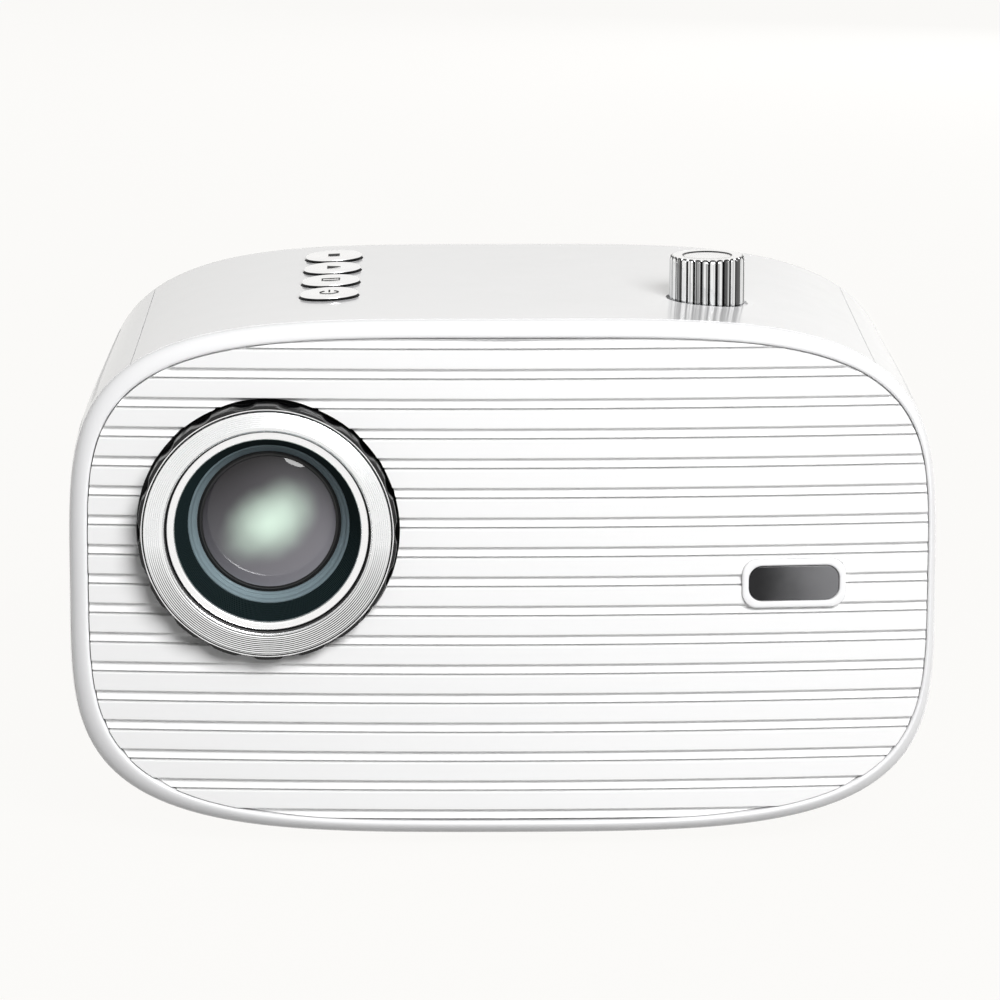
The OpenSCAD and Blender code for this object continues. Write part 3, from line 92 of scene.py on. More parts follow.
def place(x, depth, up):
    # x from the centre, depth behind the front plane, height above the rim's centre
    return Vector((x, body.frontY + depth, body.midZ + up)) * mm


@contextmanager
def meshEdit(piece):
    # opens the piece's mesh for editing and writes it back
    work = bmesh.new()
    work.from_mesh(piece.data)
    yield work
    work.to_mesh(piece.data)
    work.free()


def quads(loops, count, closeLoops=False, closeRing=True):
    # faces between neighbouring loops of points, each loop with the same count
    faces = []
    for i in range(loops if closeLoops else loops - 1):
        for k in range(count if closeRing else count - 1):
            j, m = (i + 1) % loops, (k + 1) % count
            faces.append((i * count + k, i * count + m, j * count + m, j * count + k))
    return faces


def makeObject(name, points, faces, material=None, smooth=35, recalc=True):
    mesh = bpy.data.meshes.new(name)
    mesh.from_pydata([tuple(p) for p in points], [], faces)
    piece = bpy.data.objects.new(name, mesh)
    bpy.context.scene.collection.objects.link(piece)
    finishMesh(piece, material, smooth, recalc)
    return piece


def finishMesh(piece, material=None, smooth=35, recalc=False, merge=1e-7):
    # doubles merged, normals outwards, smooth across all edges flatter than the angle
    with meshEdit(piece) as work:
        if merge:
            bmesh.ops.remove_doubles(work, verts=work.verts, dist=merge)
        if recalc:
            bmesh.ops.recalc_face_normals(work, faces=work.faces)
        for face in work.faces:
            face.smooth = True
    piece.data.set_sharp_from_angle(angle=math.radians(smooth))
    if material:
        piece.data.materials.clear()
        piece.data.materials.append(material)
        for face in piece.data.polygons:
            face.material_index = 0


def bakeModifiers(piece):
    # the evaluated result becomes the plain mesh, and the modifiers go
    graph = bpy.context.evaluated_depsgraph_get()
    mesh = bpy.data.meshes.new_from_object(piece.evaluated_get(graph))
    old = piece.data
    piece.modifiers.clear()
    piece.data = mesh
    mesh.name = piece.name
    bpy.data.meshes.remove(old)
    return piece


def combine(piece, others, operation="DIFFERENCE"):
    # cuts the others out of the piece, or joins them to it, and removes them
    for other in others:
        step = piece.modifiers.new("combine", "BOOLEAN")
        step.object = other
        step.operation = operation
        step.solver = "EXACT"
    bakeModifiers(piece)
    for other in others:
        bpy.data.objects.remove(other)
    return piece


def joined(name, pieces):
    # one object of several, materials kept
    work = bmesh.new()
    materials = []
    for piece in pieces:
        start = len(work.faces)
        work.from_mesh(piece.data)
        work.faces.ensure_lookup_table()
        table = []
        for material in piece.data.materials:
            if material not in materials:
                materials.append(material)
            table.append(materials.index(material))
        for face in work.faces[start:]:
            face.material_index = table[face.material_index] if table else 0
    mesh = bpy.data.meshes.new(name)
    work.to_mesh(mesh)
    work.free()
    for material in materials:
        mesh.materials.append(material)
    whole = bpy.data.objects.new(name, mesh)
    bpy.context.scene.collection.objects.link(whole)
    for piece in pieces:
        bpy.data.objects.remove(piece)
    return whole


def lathe(name, profile, material, axis="lens", centre=(0, 0, 0), steps=192, smooth=35, close=True):
    # profile: [radius, position along the axis] in mm; "lens" turns about Y, "up" about Z
    points = []
    for i in range(steps):
        angle = 2 * math.pi * i / steps
        for radius, along in profile:
            if axis == "up":
                spot = Vector((radius * math.cos(angle), radius * math.sin(angle), along))
            else:
                spot = Vector((radius * math.cos(angle), along, radius * math.sin(angle)))
            points.append(spot * mm + Vector(centre))
    piece = makeObject(name, points, quads(steps, len(profile), True, close), None, smooth, False)
    with meshEdit(piece) as work:
        bmesh.ops.remove_doubles(work, verts=work.verts, dist=1e-7)
        bmesh.ops.dissolve_degenerate(work, dist=1e-8, edges=work.edges)
        bmesh.ops.recalc_face_normals(work, faces=work.faces)
    finishMesh(piece, material, smooth)
    return piece


def prism(name, points, material=None):
    # closed prism from the points of its two ends in mm, one end after the other
    count = len(points) // 2
    faces = [tuple(range(count)), tuple(range(2 * count - 1, count - 1, -1))]
    faces += [(i, count + i, count + (i + 1) % count, (i + 1) % count) for i in range(count)]
    return makeObject(name, [Vector(point) * mm for point in points], faces, material)


def roundRect(w, h, r, steps=10):
    # outline of a rectangle with round corners, anticlockwise
    result = []
    for cx, cz, start in ((w / 2 - r, h / 2 - r, 0), (r - w / 2, h / 2 - r, 90),
                          (r - w / 2, r - h / 2, 180), (w / 2 - r, r - h / 2, 270)):
        for i in range(steps + 1):
            a = math.radians(start + 90 * i / steps)
            result.append((cx + r * math.cos(a), cz + r * math.sin(a)))
    return result


def softenEdges(piece, width, segments=2, angle=40):
    step = piece.modifiers.new("edges", "BEVEL")
    step.width = width * mm
    step.segments = segments
    step.limit_method = "ANGLE"
    step.angle_limit = math.radians(angle)
    step.use_clamp_overlap = True
    step.miter_outer = "MITER_ARC"
    bakeModifiers(piece)
    return piece


def dressedCopy(name, node, material, bevel=0.25, segments=2, smooth=14):
    # a merged copy of a CAD node, with its edges broken when the bevel isn't 0
    piece = bpy.data.objects.new(name, nodes[node].data.copy())
    bpy.context.scene.collection.objects.link(piece)
    with meshEdit(piece) as work:
        bmesh.ops.remove_doubles(work, verts=work.verts, dist=1e-6)
        bmesh.ops.dissolve_limit(work, angle_limit=math.radians(0.5), verts=work.verts,
                                 edges=work.edges, use_dissolve_boundaries=False, delimit=set())
        bmesh.ops.triangulate(work, faces=[face for face in work.faces if len(face.verts) > 4])
    if bevel:
        softenEdges(piece, bevel, segments)
    finishMesh(piece, material, smooth, merge=0)
    return piece


def settle(piece, bodyName, slot, *replaced):
    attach(piece, bodyName)
    if replaced:
        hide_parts(*replaced)


# ---- materials ----
def newMaterial(name, values):
    # a material with these shader values, and its Object coordinates
    material = bpy.data.materials.new(name)
    material.use_nodes = True
    tree = material.node_tree
    shader = tree.nodes["Principled BSDF"]
    for key, value in values.items():
        shader.inputs[key].default_value = value
    return material, tree, shader, addNode(tree, "ShaderNodeTexCoord")


def axisDistance(tree, where, centre, mask):
    # place relative to an axis through the centre, flattened by the mask, and its distance
    local = addNode(tree, "ShaderNodeMapping", {1: [-c for c in centre]}, {0: where.outputs["Object"]})
    flat = addNode(tree, "ShaderNodeVectorMath", {"operation": "MULTIPLY", 1: mask}, {0: local})
    radius = addNode(tree, "ShaderNodeVectorMath", {"operation": "LENGTH"}, {0: flat})
    return local, flat, radius


def addNoise(tree, where, size, detail=2.0):
    # noise with features of this size in mm, fixed to the piece
    return addNode(tree, "ShaderNodeTexNoise", {"Scale": 1 / (size * mm), "Detail": detail},
                   {"Vector": where.outputs["Object"]})


def tint(tree, shader, low, high, share):
    # base colour between two linear colours by a share
    mix = addNode(tree, "ShaderNodeMix", {"data_type": "RGBA", 6: low, 7: high}, {0: share})
    tree.links.new(mix.outputs[2], shader.inputs["Base Color"])


def makeFinish(name, colour, roughness, metallic=0.0, grain=None, bump=None, mottle=0.0, extra=None,
               roughSpread=0.0):
    # grain: size in mm of the colour and roughness variation; bump: (feature mm, height mm)
    material, tree, shader, where = newMaterial(name, {
        "Metallic": metallic, "Roughness": roughness, "Base Color": toLinear(colour), **(extra or {})})
    if grain and (mottle or roughSpread):
        noise = addNoise(tree, where, grain, 3.0)
        if mottle:
            dark = [c * (1 - mottle) for c in toLinear(colour)[:3]] + [1.0]
            tint(tree, shader, dark, toLinear(colour), noise.outputs["Fac"])
        if roughSpread:
            spread = addNode(tree, "ShaderNodeMapRange",
                             {"To Min": roughness - roughSpread, "To Max": roughness + roughSpread},
                             {"Value": noise.outputs["Fac"]})
            tree.links.new(spread.outputs[0], shader.inputs["Roughness"])
    if bump:
        fine = addNoise(tree, where, bump[0])
        relief = addNode(tree, "ShaderNodeBump", {"Strength": 1.0, "Distance": bump[1] * mm},
                         {"Height": fine.outputs["Fac"]})
        tree.links.new(relief.outputs[0], shader.inputs["Normal"])
    return material


# High-gloss moulded ABS: clean white with a faint orange-peel in its reflections
glossAbs = makeFinish("glossMouldedAbs", "f4f4f5", 0.16, grain=14, bump=(2.2, 0.0016), mottle=0.012,
                      roughSpread=0.03, extra={"IOR": 1.53, "Coat Weight": 0.35, "Coat Roughness": 0.05})
# Satin white ABS of the fluted panel: softer gloss, so that the flutes shade evenly
satinAbs = makeFinish("satinMouldedAbs", "f6f6f6", 0.3, grain=10, bump=(1.2, 0.002), mottle=0.01,
                      roughSpread=0.03, extra={"IOR": 1.53})
# Matt black ABS, spark-eroded mould: dull with a fine even tooth
blackAbs = makeFinish("mattBlackAbs", "131315", 0.45, grain=3, bump=(0.35, 0.012), mottle=0.2,
                      roughSpread=0.06)
# Polished black ABS of the focus grip: deep, with narrow bright edges
gripBlack = makeFinish("polishedBlackAbs", "09090b", 0.22, grain=6, mottle=0.2, roughSpread=0.04,
                       bump=(1.5, 0.001), extra={"Specular IOR Level": 0.4})
# Black of the key signs and the pickup's lens ring, also used as painted shade on the sides of the keys
blackAndPaintedShade = makeFinish("softTouchBlack", "060607", 0.5, grain=3, mottle=0.2, roughSpread=0.05,
                       extra={"Specular IOR Level": 0.15})
# Satin chrome of the caps and the lens trim, nearly white
keyChrome = makeFinish("satinChromiumPlate", "f8f8f9", 0.2, 1.0, grain=5, roughSpread=0.04,
                       bump=(1.8, 0.001))
# Bright chromium plate: mirror-like with a very faint haze
chromePlate = makeFinish("chromiumPlate", "f3f4f5", 0.06, 1.0, grain=4, roughSpread=0.02,
                         bump=(2.5, 0.0006))
# Black-green velvet baffle in the mouth of the barrel: almost no reflection
baffleBlack = makeFinish("velvetBaffle", "0a1a1c", 0.6, 0.0, grain=2, mottle=0.2,
                         bump=(0.4, 0.004), extra={"Specular IOR Level": 0.1})
# Teal-grey anodised aluminium of the lens retainer
tealAnodised = makeFinish("tealAnodisedAluminium", "879aa1", 0.38, 0.35, grain=1.5, mottle=0.12,
                          roughSpread=0.05, bump=(0.5, 0.002))


def smokedPane(name, left, right, x0, x1):
    # smoked polycarbonate: the receiver behind it lifts one end from near black to grey
    material = makeFinish(name, left, 0.14, grain=9, extra={"IOR": 1.58, "Specular IOR Level": 0.22})
    tree = material.node_tree
    shader = tree.nodes["Principled BSDF"]
    where = addNode(tree, "ShaderNodeTexCoord")
    split = addNode(tree, "ShaderNodeSeparateXYZ", {}, {0: where.outputs["Object"]})
    noise = addNoise(tree, where, 7)
    shift = addNode(tree, "ShaderNodeMath", {"operation": "MULTIPLY_ADD", 1: 5 * mm},
                    {0: noise.outputs["Fac"], 2: split})
    share = addNode(tree, "ShaderNodeMapRange", {"interpolation_type": "SMOOTHSTEP", 1: (x0 + 2) * mm,
                                                 2: (x1 + 2) * mm}, {0: shift})
    tint(tree, shader, toLinear(left), toLinear(right), share)
    return material


smokedWindow = smokedPane("smokedPolycarbonate", "171719", "747476", 68, 91)
print("finishes ready")


# ---- Geometry Nodes trees ----
def newTree(name, inputs):
    # inputs: [(label, socket kind, default)]; returns the tree, its labels' identifiers and outputs
    tree = bpy.data.node_groups.new(name, "GeometryNodeTree")
    tree.interface.new_socket("Geometry", in_out="OUTPUT", socket_type="NodeSocketGeometry")
    identifiers = {}
    for label, kind, default in inputs:
        socket = tree.interface.new_socket(label, in_out="INPUT", socket_type="NodeSocket" + kind)
        if default is not None:
            socket.default_value = default
        identifiers[label] = socket.identifier
    start = addNode(tree, "NodeGroupInput")
    values = {label: start.outputs[label] for label in identifiers}
    return tree, identifiers, values


def closeTree(tree, geometry, material):
    # every tree ends in real geometry with its material set
    real = addNode(tree, "GeometryNodeRealizeInstances", {}, {0: geometry})
    coated = addNode(tree, "GeometryNodeSetMaterial", {}, {"Geometry": real})
    tree.links.new(material, coated.inputs["Material"])
    addNode(tree, "NodeGroupOutput", {}, {0: coated})


def runTree(name, tree, identifiers, settings, smooth=35, recalc=False, merge=1e-7):
    # a new object whose mesh is what the tree makes with these inputs
    piece = bpy.data.objects.new(name, bpy.data.meshes.new(name))
    step = piece.modifiers.new("build", "NODES")
    step.node_group = tree
    for label, value in settings.items():
        step[identifiers[label]] = value
    bpy.context.scene.collection.objects.link(piece)
    bakeModifiers(piece)
    finishMesh(piece, settings.get("Material"), smooth, recalc, merge)
    return piece


def calcChain(tree, values, steps):
    # one Math node for each step: result, operation, then names or numbers
    for result, operation, *inputs in steps:
        node = addNode(tree, "ShaderNodeMath", {"operation": operation})
        for i, item in enumerate(inputs):
            if isinstance(item, str):
                tree.links.new(values[item], node.inputs[i])
            else:
                node.inputs[i].default_value = item
        values[result] = node.outputs[0]


def makeCasingTree():
    # skin of the body between two polar angles, from the front rim to the rear edge
    tree, ids, v = newTree("casingSkin", [
        ("Start Angle", "Float", 0.0), ("Sweep", "Float", 1.0),
        ("Steps Around", "Int", 96), ("Steps Back", "Int", 72),
        ("Width", "Float", 0.2), ("Height", "Float", 0.1),
        ("Depth", "Float", 0.1), ("Squareness", "Float", 4.0),
        ("Side Swell", "Float", 0.0), ("Swell Lean", "Float", 0.0),
        ("Belly", "Float", 0.0), ("Swell Power", "Float", 1.0),
        ("Front Bow", "Float", 0.0), ("Rear Radius", "Float", 0.01),
        ("First Depth", "Float", 0.0), ("Front Y", "Float", 0.0),
        ("Middle Z", "Float", 0.0), ("Material", "Material", None)])
    grid = addNode(tree, "GeometryNodeMeshGrid", {"Size X": 1.0, "Size Y": 1.0},
                   {"Vertices X": v["Steps Around"], "Vertices Y": v["Steps Back"]})
    here = addNode(tree, "GeometryNodeInputPosition")
    split = addNode(tree, "ShaderNodeSeparateXYZ", {}, {0: here})
    v["gridX"], v["gridY"] = split.outputs[0], split.outputs[1]
    calcChain(tree, v, [
        # polar angle and the superellipse
        ("share", "ADD", "gridX", 0.5), ("angle", "MULTIPLY_ADD", "share", "Sweep", "Start Angle"),
        ("cos", "COSINE", "angle"), ("sin", "SINE", "angle"),
        ("absCos", "ABSOLUTE", "cos"), ("absSin", "ABSOLUTE", "sin"),
        ("cosPower", "POWER", "absCos", "Squareness"), ("sinPower", "POWER", "absSin", "Squareness"),
        ("sum", "ADD", "cosPower", "sinPower"), ("inverse", "DIVIDE", -1.0, "Squareness"),
        ("radius", "POWER", "sum", "inverse"), ("u", "MULTIPLY", "cos", "radius"),
        ("v", "MULTIPLY", "sin", "radius"),
        # run back along the body and round the rear edge
        ("straight", "SUBTRACT", "Depth", "Rear Radius"), ("flat", "SUBTRACT", "straight", "First Depth"),
        ("quarter", "MULTIPLY", "Rear Radius", math.pi / 2), ("total", "ADD", "flat", "quarter"),
        ("along", "ADD", "gridY", 0.5), ("run", "MULTIPLY", "along", "total"),
        ("over", "SUBTRACT", "run", "flat"), ("past", "MAXIMUM", "over", 0.0),
        ("bend", "DIVIDE", "past", "Rear Radius"), ("ahead", "MINIMUM", "run", "flat"),
        ("bendSin", "SINE", "bend"), ("bendCos", "COSINE", "bend"),
        ("reach", "MULTIPLY_ADD", "Rear Radius", "bendSin", "ahead"),
        ("t", "ADD", "reach", "First Depth"), ("drop", "SUBTRACT", 1.0, "bendCos"),
        ("inset", "MULTIPLY", "drop", "Rear Radius"),
        # swell of the sides and the belly
        ("depthShare", "DIVIDE", "t", "Depth"), ("bulge", "POWER", "depthShare", "Swell Power"),
        ("phase", "MULTIPLY", "bulge", math.pi), ("swell", "SINE", "phase"),
        ("absV", "ABSOLUTE", "v"), ("vv", "MULTIPLY", "v", "absV"),
        ("leaning", "MULTIPLY", "vv", "Swell Lean"), ("sideShare", "SUBTRACT", 1.0, "leaning"),
        ("sideSwell", "MULTIPLY", "swell", "Side Swell"), ("sideOut", "MULTIPLY", "sideSwell", "sideShare"),
        ("halfWidth", "MULTIPLY_ADD", "Width", 0.5, "sideOut"), ("reachX", "SUBTRACT", "halfWidth", "inset"),
        ("x", "MULTIPLY", "reachX", "u"), ("below", "LESS_THAN", "v", 0.0),
        ("bellyOut", "MULTIPLY", "swell", "Belly"), ("bellyHere", "MULTIPLY", "bellyOut", "below"),
        ("halfHeight", "MULTIPLY_ADD", "Height", 0.5, "bellyHere"),
        ("reachZ", "SUBTRACT", "halfHeight", "inset"), ("up", "MULTIPLY", "reachZ", "v"),
        ("z", "ADD", "up", "Middle Z"),
        # bow of the front, fading to the rear
        ("uu", "MULTIPLY", "u", "u"), ("fade", "SUBTRACT", 1.0, "depthShare"),
        ("bow", "MULTIPLY", "uu", "Front Bow"), ("back", "MULTIPLY_ADD", "bow", "fade", "t"),
        ("y", "ADD", "back", "Front Y")])
    spot = addNode(tree, "ShaderNodeCombineXYZ", {}, {0: v["x"], 1: v["y"], 2: v["z"]})
    shaped = addNode(tree, "GeometryNodeSetPosition", {},
                     {"Geometry": grid, "Position": spot})
    outward = addNode(tree, "GeometryNodeFlipFaces", {}, {0: shaped})
    closeTree(tree, outward, v["Material"])
    return tree, ids


def makeRowTree():
    # copies of a piece in a straight row
    tree, ids, v = newTree("repeatAlong", [
        ("Piece", "Object", None), ("Count", "Int", 2),
        ("Start", "Vector", (0, 0, 0)), ("Step", "Vector", (0, 0, 0)),
        ("Material", "Material", None)])
    line = addNode(tree, "GeometryNodeMeshLine", {},
                   {"Count": v["Count"], "Start Location": v["Start"], "Offset": v["Step"]})
    piece = addNode(tree, "GeometryNodeObjectInfo", {}, {0: v["Piece"]})
    copies = addNode(tree, "GeometryNodeInstanceOnPoints", {},
                     {"Points": line, "Instance": piece.outputs["Geometry"]})
    closeTree(tree, copies, v["Material"])
    return tree, ids


def makeRingTree():
    # copies of a sector round the Z axis, merged, then turned and moved to their place
    tree, ids, v = newTree("repeatAround", [
        ("Piece", "Object", None), ("Count", "Int", 2),
        ("Turn", "Vector", (0, 0, 0)), ("Centre", "Vector", (0, 0, 0)),
        ("Material", "Material", None)])
    line = addNode(tree, "GeometryNodeMeshLine", {"Offset": (0, 0, 0)}, {"Count": v["Count"]})
    index = addNode(tree, "GeometryNodeInputIndex")
    v["index"] = index.outputs[0]
    calcChain(tree, v, [("step", "DIVIDE", 2 * math.pi, "Count"), ("angle", "MULTIPLY", "index", "step")])
    spin = addNode(tree, "ShaderNodeCombineXYZ", {}, {2: v["angle"]})
    piece = addNode(tree, "GeometryNodeObjectInfo", {}, {0: v["Piece"]})
    copies = addNode(tree, "GeometryNodeInstanceOnPoints", {},
                     {"Points": line, "Instance": piece.outputs["Geometry"],
                      "Rotation": spin})
    real = addNode(tree, "GeometryNodeRealizeInstances", {}, {0: copies})
    merged = addNode(tree, "GeometryNodeMergeByDistance", {"Distance": 2e-6}, {0: real})
    moved = addNode(tree, "GeometryNodeTransform", {},
                    {"Geometry": merged, "Translation": v["Centre"], "Rotation": v["Turn"]})
    closeTree(tree, moved, v["Material"])
    return tree, ids


casingTree, casingIds = makeCasingTree()
rowTree, rowIds = makeRowTree()
ringTree, ringIds = makeRingTree()


def repeatAlong(name, piece, count, step, material=None, start=(0, 0, 0), smooth=35, keep=False):
    # a straight row of the piece, which is used up unless it is kept
    settings = {"Piece": piece, "Count": count, "Start": [c * mm for c in start],
                "Step": [c * mm for c in step]}
    if material:
        settings["Material"] = material
    row = runTree(name, rowTree, rowIds, settings, smooth)
    if not keep:
        bpy.data.objects.remove(piece)
    return row


def repeatAround(name, sector, count, material=None, centre=(0, 0, 0), turn=(0, 0, 0), smooth=35):
    settings = {"Piece": sector, "Count": count, "Centre": list(centre), "Turn": list(turn)}
    if material:
        settings["Material"] = material
    ring = runTree(name, ringTree, ringIds, settings, smooth, recalc=True, merge=1e-6)
    bpy.data.objects.remove(sector)
    return ring


print("node trees ready")


# ---- casing: one tree, four mouldings ----
def makeCasing(name, startAngle, endAngle, around):
    half = body.seam / body.width * 180 / math.pi
    settings = {"Start Angle": math.radians(startAngle + half),
                "Sweep": math.radians(endAngle - startAngle - 2 * half),
                "Steps Around": around, "Steps Back": 64,
                "Width": (body.width - 0.04) * mm, "Height": (body.height - 0.04) * mm,
                "Depth": body.depth * mm, "Squareness": float(body.squareness),
                "Side Swell": (body.sideSwell - 0.02) * mm, "Swell Lean": body.swellLean,
                "Belly": body.belly * mm, "Swell Power": body.swellPower,
                "Front Bow": float(body.frontBow) * mm, "Rear Radius": body.rearRadius * mm,
                "First Depth": casing.firstDepth * mm, "Front Y": body.frontY * mm,
                "Middle Z": body.midZ * mm, "Material": glossAbs}
    piece = runTree(name, casingTree, casingIds, settings, 60)
    wall = piece.modifiers.new("wall", "SOLIDIFY")
    wall.thickness = body.wall * mm
    wall.offset = -1
    wall.use_even_offset = False
    bakeModifiers(piece)
    return piece


def slotCutter(length, height, x0, x1, y, z, endSteps=8):
    # a slot along Y with round ends, cut through in X
    outline = []
    r = height / 2
    for cy, start in ((y + length / 2 - r, -90), (y - length / 2 + r, 90)):
        for i in range(endSteps + 1):
            a = math.radians(start + 180 * i / endSteps)
            outline.append((cy + r * math.cos(a), z + r * math.sin(a)))
    return prism("slotCutter", [(x, yy, zz) for x in (x0, x1) for yy, zz in outline])


casing = SimpleNamespace(firstDepth=4.6, slotHeight=2.6, slotFirst=18, slotLast=122, slotTop=2,
                         slotCount=8, pitch=8.14, firstCrease=62.3)
buttons = SimpleNamespace(x=-47.5, first=44.3, pitch=21.5, radius=8.1, collar=9.3, roof=69.88, tilt=2.656,
                          proud=1.3, hole=8.4)
knob = SimpleNamespace(x=56.5, depth=41.5, radius=10.35, top=81.7, wellZ=67.64, wellRadius=11.25,
                       flutes=30, flutePeak=0.55)

topCover = makeCasing("topCover", body.seamAngle, 180 - body.seamAngle, 120)
leftSide = makeCasing("leftSide", 180 - body.seamAngle, 180 + body.seamAngle, 80)
rightSide = makeCasing("rightSide", -body.seamAngle, body.seamAngle, 80)
underside = makeCasing("underside", 180 + body.seamAngle, 360 - body.seamAngle, 120)

middle = body.frontY + (casing.slotFirst + casing.slotLast) / 2
for side, piece in ((-1, leftSide), (1, rightSide)):
    first = slotCutter(casing.slotLast - casing.slotFirst + casing.slotHeight,
                       casing.slotHeight, side * 98, side * 130, middle,
                       body.midZ + casing.firstCrease - casing.slotTop * casing.pitch)
    slots = repeatAlong("slots", first, casing.slotCount, (0, 0, -casing.pitch))
    combine(piece, [slots])

holes = []
for i in range(4):
    holes.append(lathe("hole", [[0, 50], [buttons.hole, 50], [buttons.hole, 90], [0, 90]], None,
                       "up", place(buttons.x, buttons.first + i * buttons.pitch, 0), 96))
well = lathe("well", [[0, knob.wellZ - 4], [knob.wellRadius + 1.6, knob.wellZ - 4],
                      [knob.wellRadius + 1.6, knob.wellZ + 0.4], [0, knob.wellZ + 0.4]],
             None, "up", place(knob.x, knob.depth, 0), 144)
combine(topCover, [well], "UNION")
holes.append(lathe("hole", [[0, knob.wellZ], [knob.wellRadius, knob.wellZ],
                            [knob.wellRadius, 90], [0, 90]], None, "up",
                   place(knob.x, knob.depth, 0), 144))
holes.append(lathe("hole", [[0, 50], [3.6, 50], [3.6, 90], [0, 90]], None, "up",
                   place(knob.x, knob.depth, 0), 48))
combine(topCover, holes)

# underside: bosses inside, recesses for the screws, seats of the feet and the tripod insert
base = SimpleNamespace(screwX=((-93, 15.2), (-52, 4.4), (89, 13.2)), screwY=(26, 121), screwTop=19.9,
                       recessTop=16.9, recess=3.2, feetX=(-70, 70), feetY=(48, 118), foot=8, footTop=3.2,
                       pad=9.6, insertRadius=6, insertLow=2.28, insertHigh=11.78)


def column(x, depth, low, high, radius, bevel=0.0, steps=64):
    profile = [[0, low], [radius - bevel, low], [radius, low + bevel], [radius, high], [0, high]]
    return lathe("column", profile, glossAbs, "up", place(x, depth, -body.midZ), steps)


screwSpots = [(x, y, low) for x, low in base.screwX for y in base.screwY]
feetSpots = [(x, y) for x in base.feetX for y in base.feetY]
bosses = [column(x, y, low, base.screwTop, 5) for x, y, low in screwSpots]
bosses += [column(x, y, base.footTop, 9, base.pad, 0.5) for x, y in feetSpots]
bosses.append(column(0, 69.65, base.insertLow, 13.8, 9, 0.3))
bores = [column(x, y, -5, base.recessTop, base.recess) for x, y, _ in screwSpots]
bores += [column(x, y, 12, 30, 1.6, 0, 32) for x, y, _ in screwSpots]
bores += [column(x, y, -5, base.footTop + 0.02, base.foot + 0.08) for x, y in feetSpots]
bores.append(column(0, 69.65, -5, base.insertHigh, base.insertRadius + 0.04))
combine(underside, bosses, "UNION")
combine(underside, bores)


def closeSlivers(piece):
    # fills the hairline openings that a cut can leave
    with meshEdit(piece) as work:
        bmesh.ops.holes_fill(work, edges=[edge for edge in work.edges if edge.is_boundary], sides=0)


for piece in (topCover, leftSide, rightSide, underside):
    finishMesh(piece, glossAbs, 35, merge=1e-6)
    closeSlivers(piece)
    print(piece.name, len(piece.data.polygons), "faces")
settle(topCover, "housing", "shell_white", "top_cover")
settle(leftSide, "housing", "shell_white", "left_side_panel")
settle(rightSide, "housing", "shell_white", "right_side_panel")
settle(underside, "housing", "shell_white", "bottom_case")


# ---- front rim ----
rim = SimpleNamespace(depth=4, round=3.4, side=2.4, top=3.6, panelX=1.4, panelDrop=1.1, panelThick=2.6,
                      gap=0.12, lip=0.75, panelGap=0.16, around=480, steps=14, tongue=2.0, tongueLength=4.0)
panelW = body.width - 2 * rim.side
panelH = body.height - 2 * rim.top


def bodyPoint(a, t, inset):
    n = body.squareness
    r = (abs(math.cos(a)) ** n + abs(math.sin(a)) ** n) ** (-1 / n)
    u, v = r * math.cos(a), r * math.sin(a)
    swell = math.sin(math.pi * (max(0, t) / body.depth) ** body.swellPower)
    halfW = body.width / 2 + body.sideSwell * swell * (1 - body.swellLean * v * abs(v)) - 0.02
    halfH = body.height / 2 + (body.belly * swell if v < 0 else 0) - 0.02
    return np.array([(halfW - inset) * u,
                     body.frontY + t + body.frontBow * u * u * (1 - t / body.depth),
                     body.midZ + (halfH - inset) * v])


def panelPoint(a, t, grow):
    n = body.squareness
    r = (abs(math.cos(a)) ** n + abs(math.sin(a)) ** n) ** (-1 / n)
    x = rim.panelX + (panelW / 2 + grow) * r * math.cos(a)
    return np.array([x, body.frontY + t + body.frontBow * (2 * x / body.width) ** 2,
                     body.midZ - rim.panelDrop + (panelH / 2 + grow) * r * math.sin(a)])


def makeRim():
    points = []
    ledge = rim.panelThick + 0.3
    inner = body.wall + 0.4
    deepest = rim.depth + rim.tongueLength
    for i in range(rim.around):
        a = 2 * math.pi * i / rim.around
        loop = []
        for k in range(rim.steps + 1):
            b = math.pi / 2 * k / rim.steps
            t = rim.round * (1 - math.sin(b))
            f = 1 - math.cos(b)
            loop.append(bodyPoint(a, t, 0) * (1 - f) + panelPoint(a, t, rim.gap + rim.lip) * f)
        for k in range(1, 6):
            c = math.pi / 2 * k / 5
            loop.append(panelPoint(a, rim.lip * (1 - math.cos(c)),
                                   rim.gap + rim.lip * (1 - math.sin(c))))
        loop.append(panelPoint(a, ledge, rim.gap))
        loop += [bodyPoint(a, t, inset) for t, inset in (
            (ledge, inner + rim.tongue), (deepest, inner + rim.tongue), (deepest, inner),
            (rim.depth, inner), (rim.depth - 0.05, 0.55), (rim.depth - 0.3, 0.2),
            (rim.depth - 0.65, 0))]
        points += [Vector(p) * mm for p in loop]
    return makeObject("frontRim", points, quads(rim.around, len(loop), True), glossAbs, 40)


frontRim = makeRim()
settle(frontRim, "housing", "shell_white", "front_rim")


# ---- fluted front panel: one strip repeated, then shaped to the outline ----
panel = SimpleNamespace(pitch=8.14, groove=3.3, firstCrease=62.3, strips=19, columns=72, thick=2.6,
                        ringHole=35.6, ringX=-63.5, ringZ=13.4)
# one groove from the lower lip of a band down to the next band: [height, depth] in mm
grooveProfile = [[0.22, 0.0], [0.1, 0.03], [0.02, 0.12], [-0.02, 0.3], [-0.08, 0.75], [-0.2, 1.2],
                 [-0.42, 1.5], [-0.75, 1.66], [-1.05, 1.6], [-1.35, 1.4], [-1.65, 1.12], [-1.95, 0.83],
                 [-2.25, 0.56], [-2.5, 0.38], [-2.56, 0.44], [-2.6, 1.0], [-2.65, 1.85], [-3.12, 1.9],
                 [-3.15, 1.0], [-3.18, 0.4], [-3.22, 0.14], [-3.28, 0.04], [-3.35, 0.01], [-3.46, 0.0]]


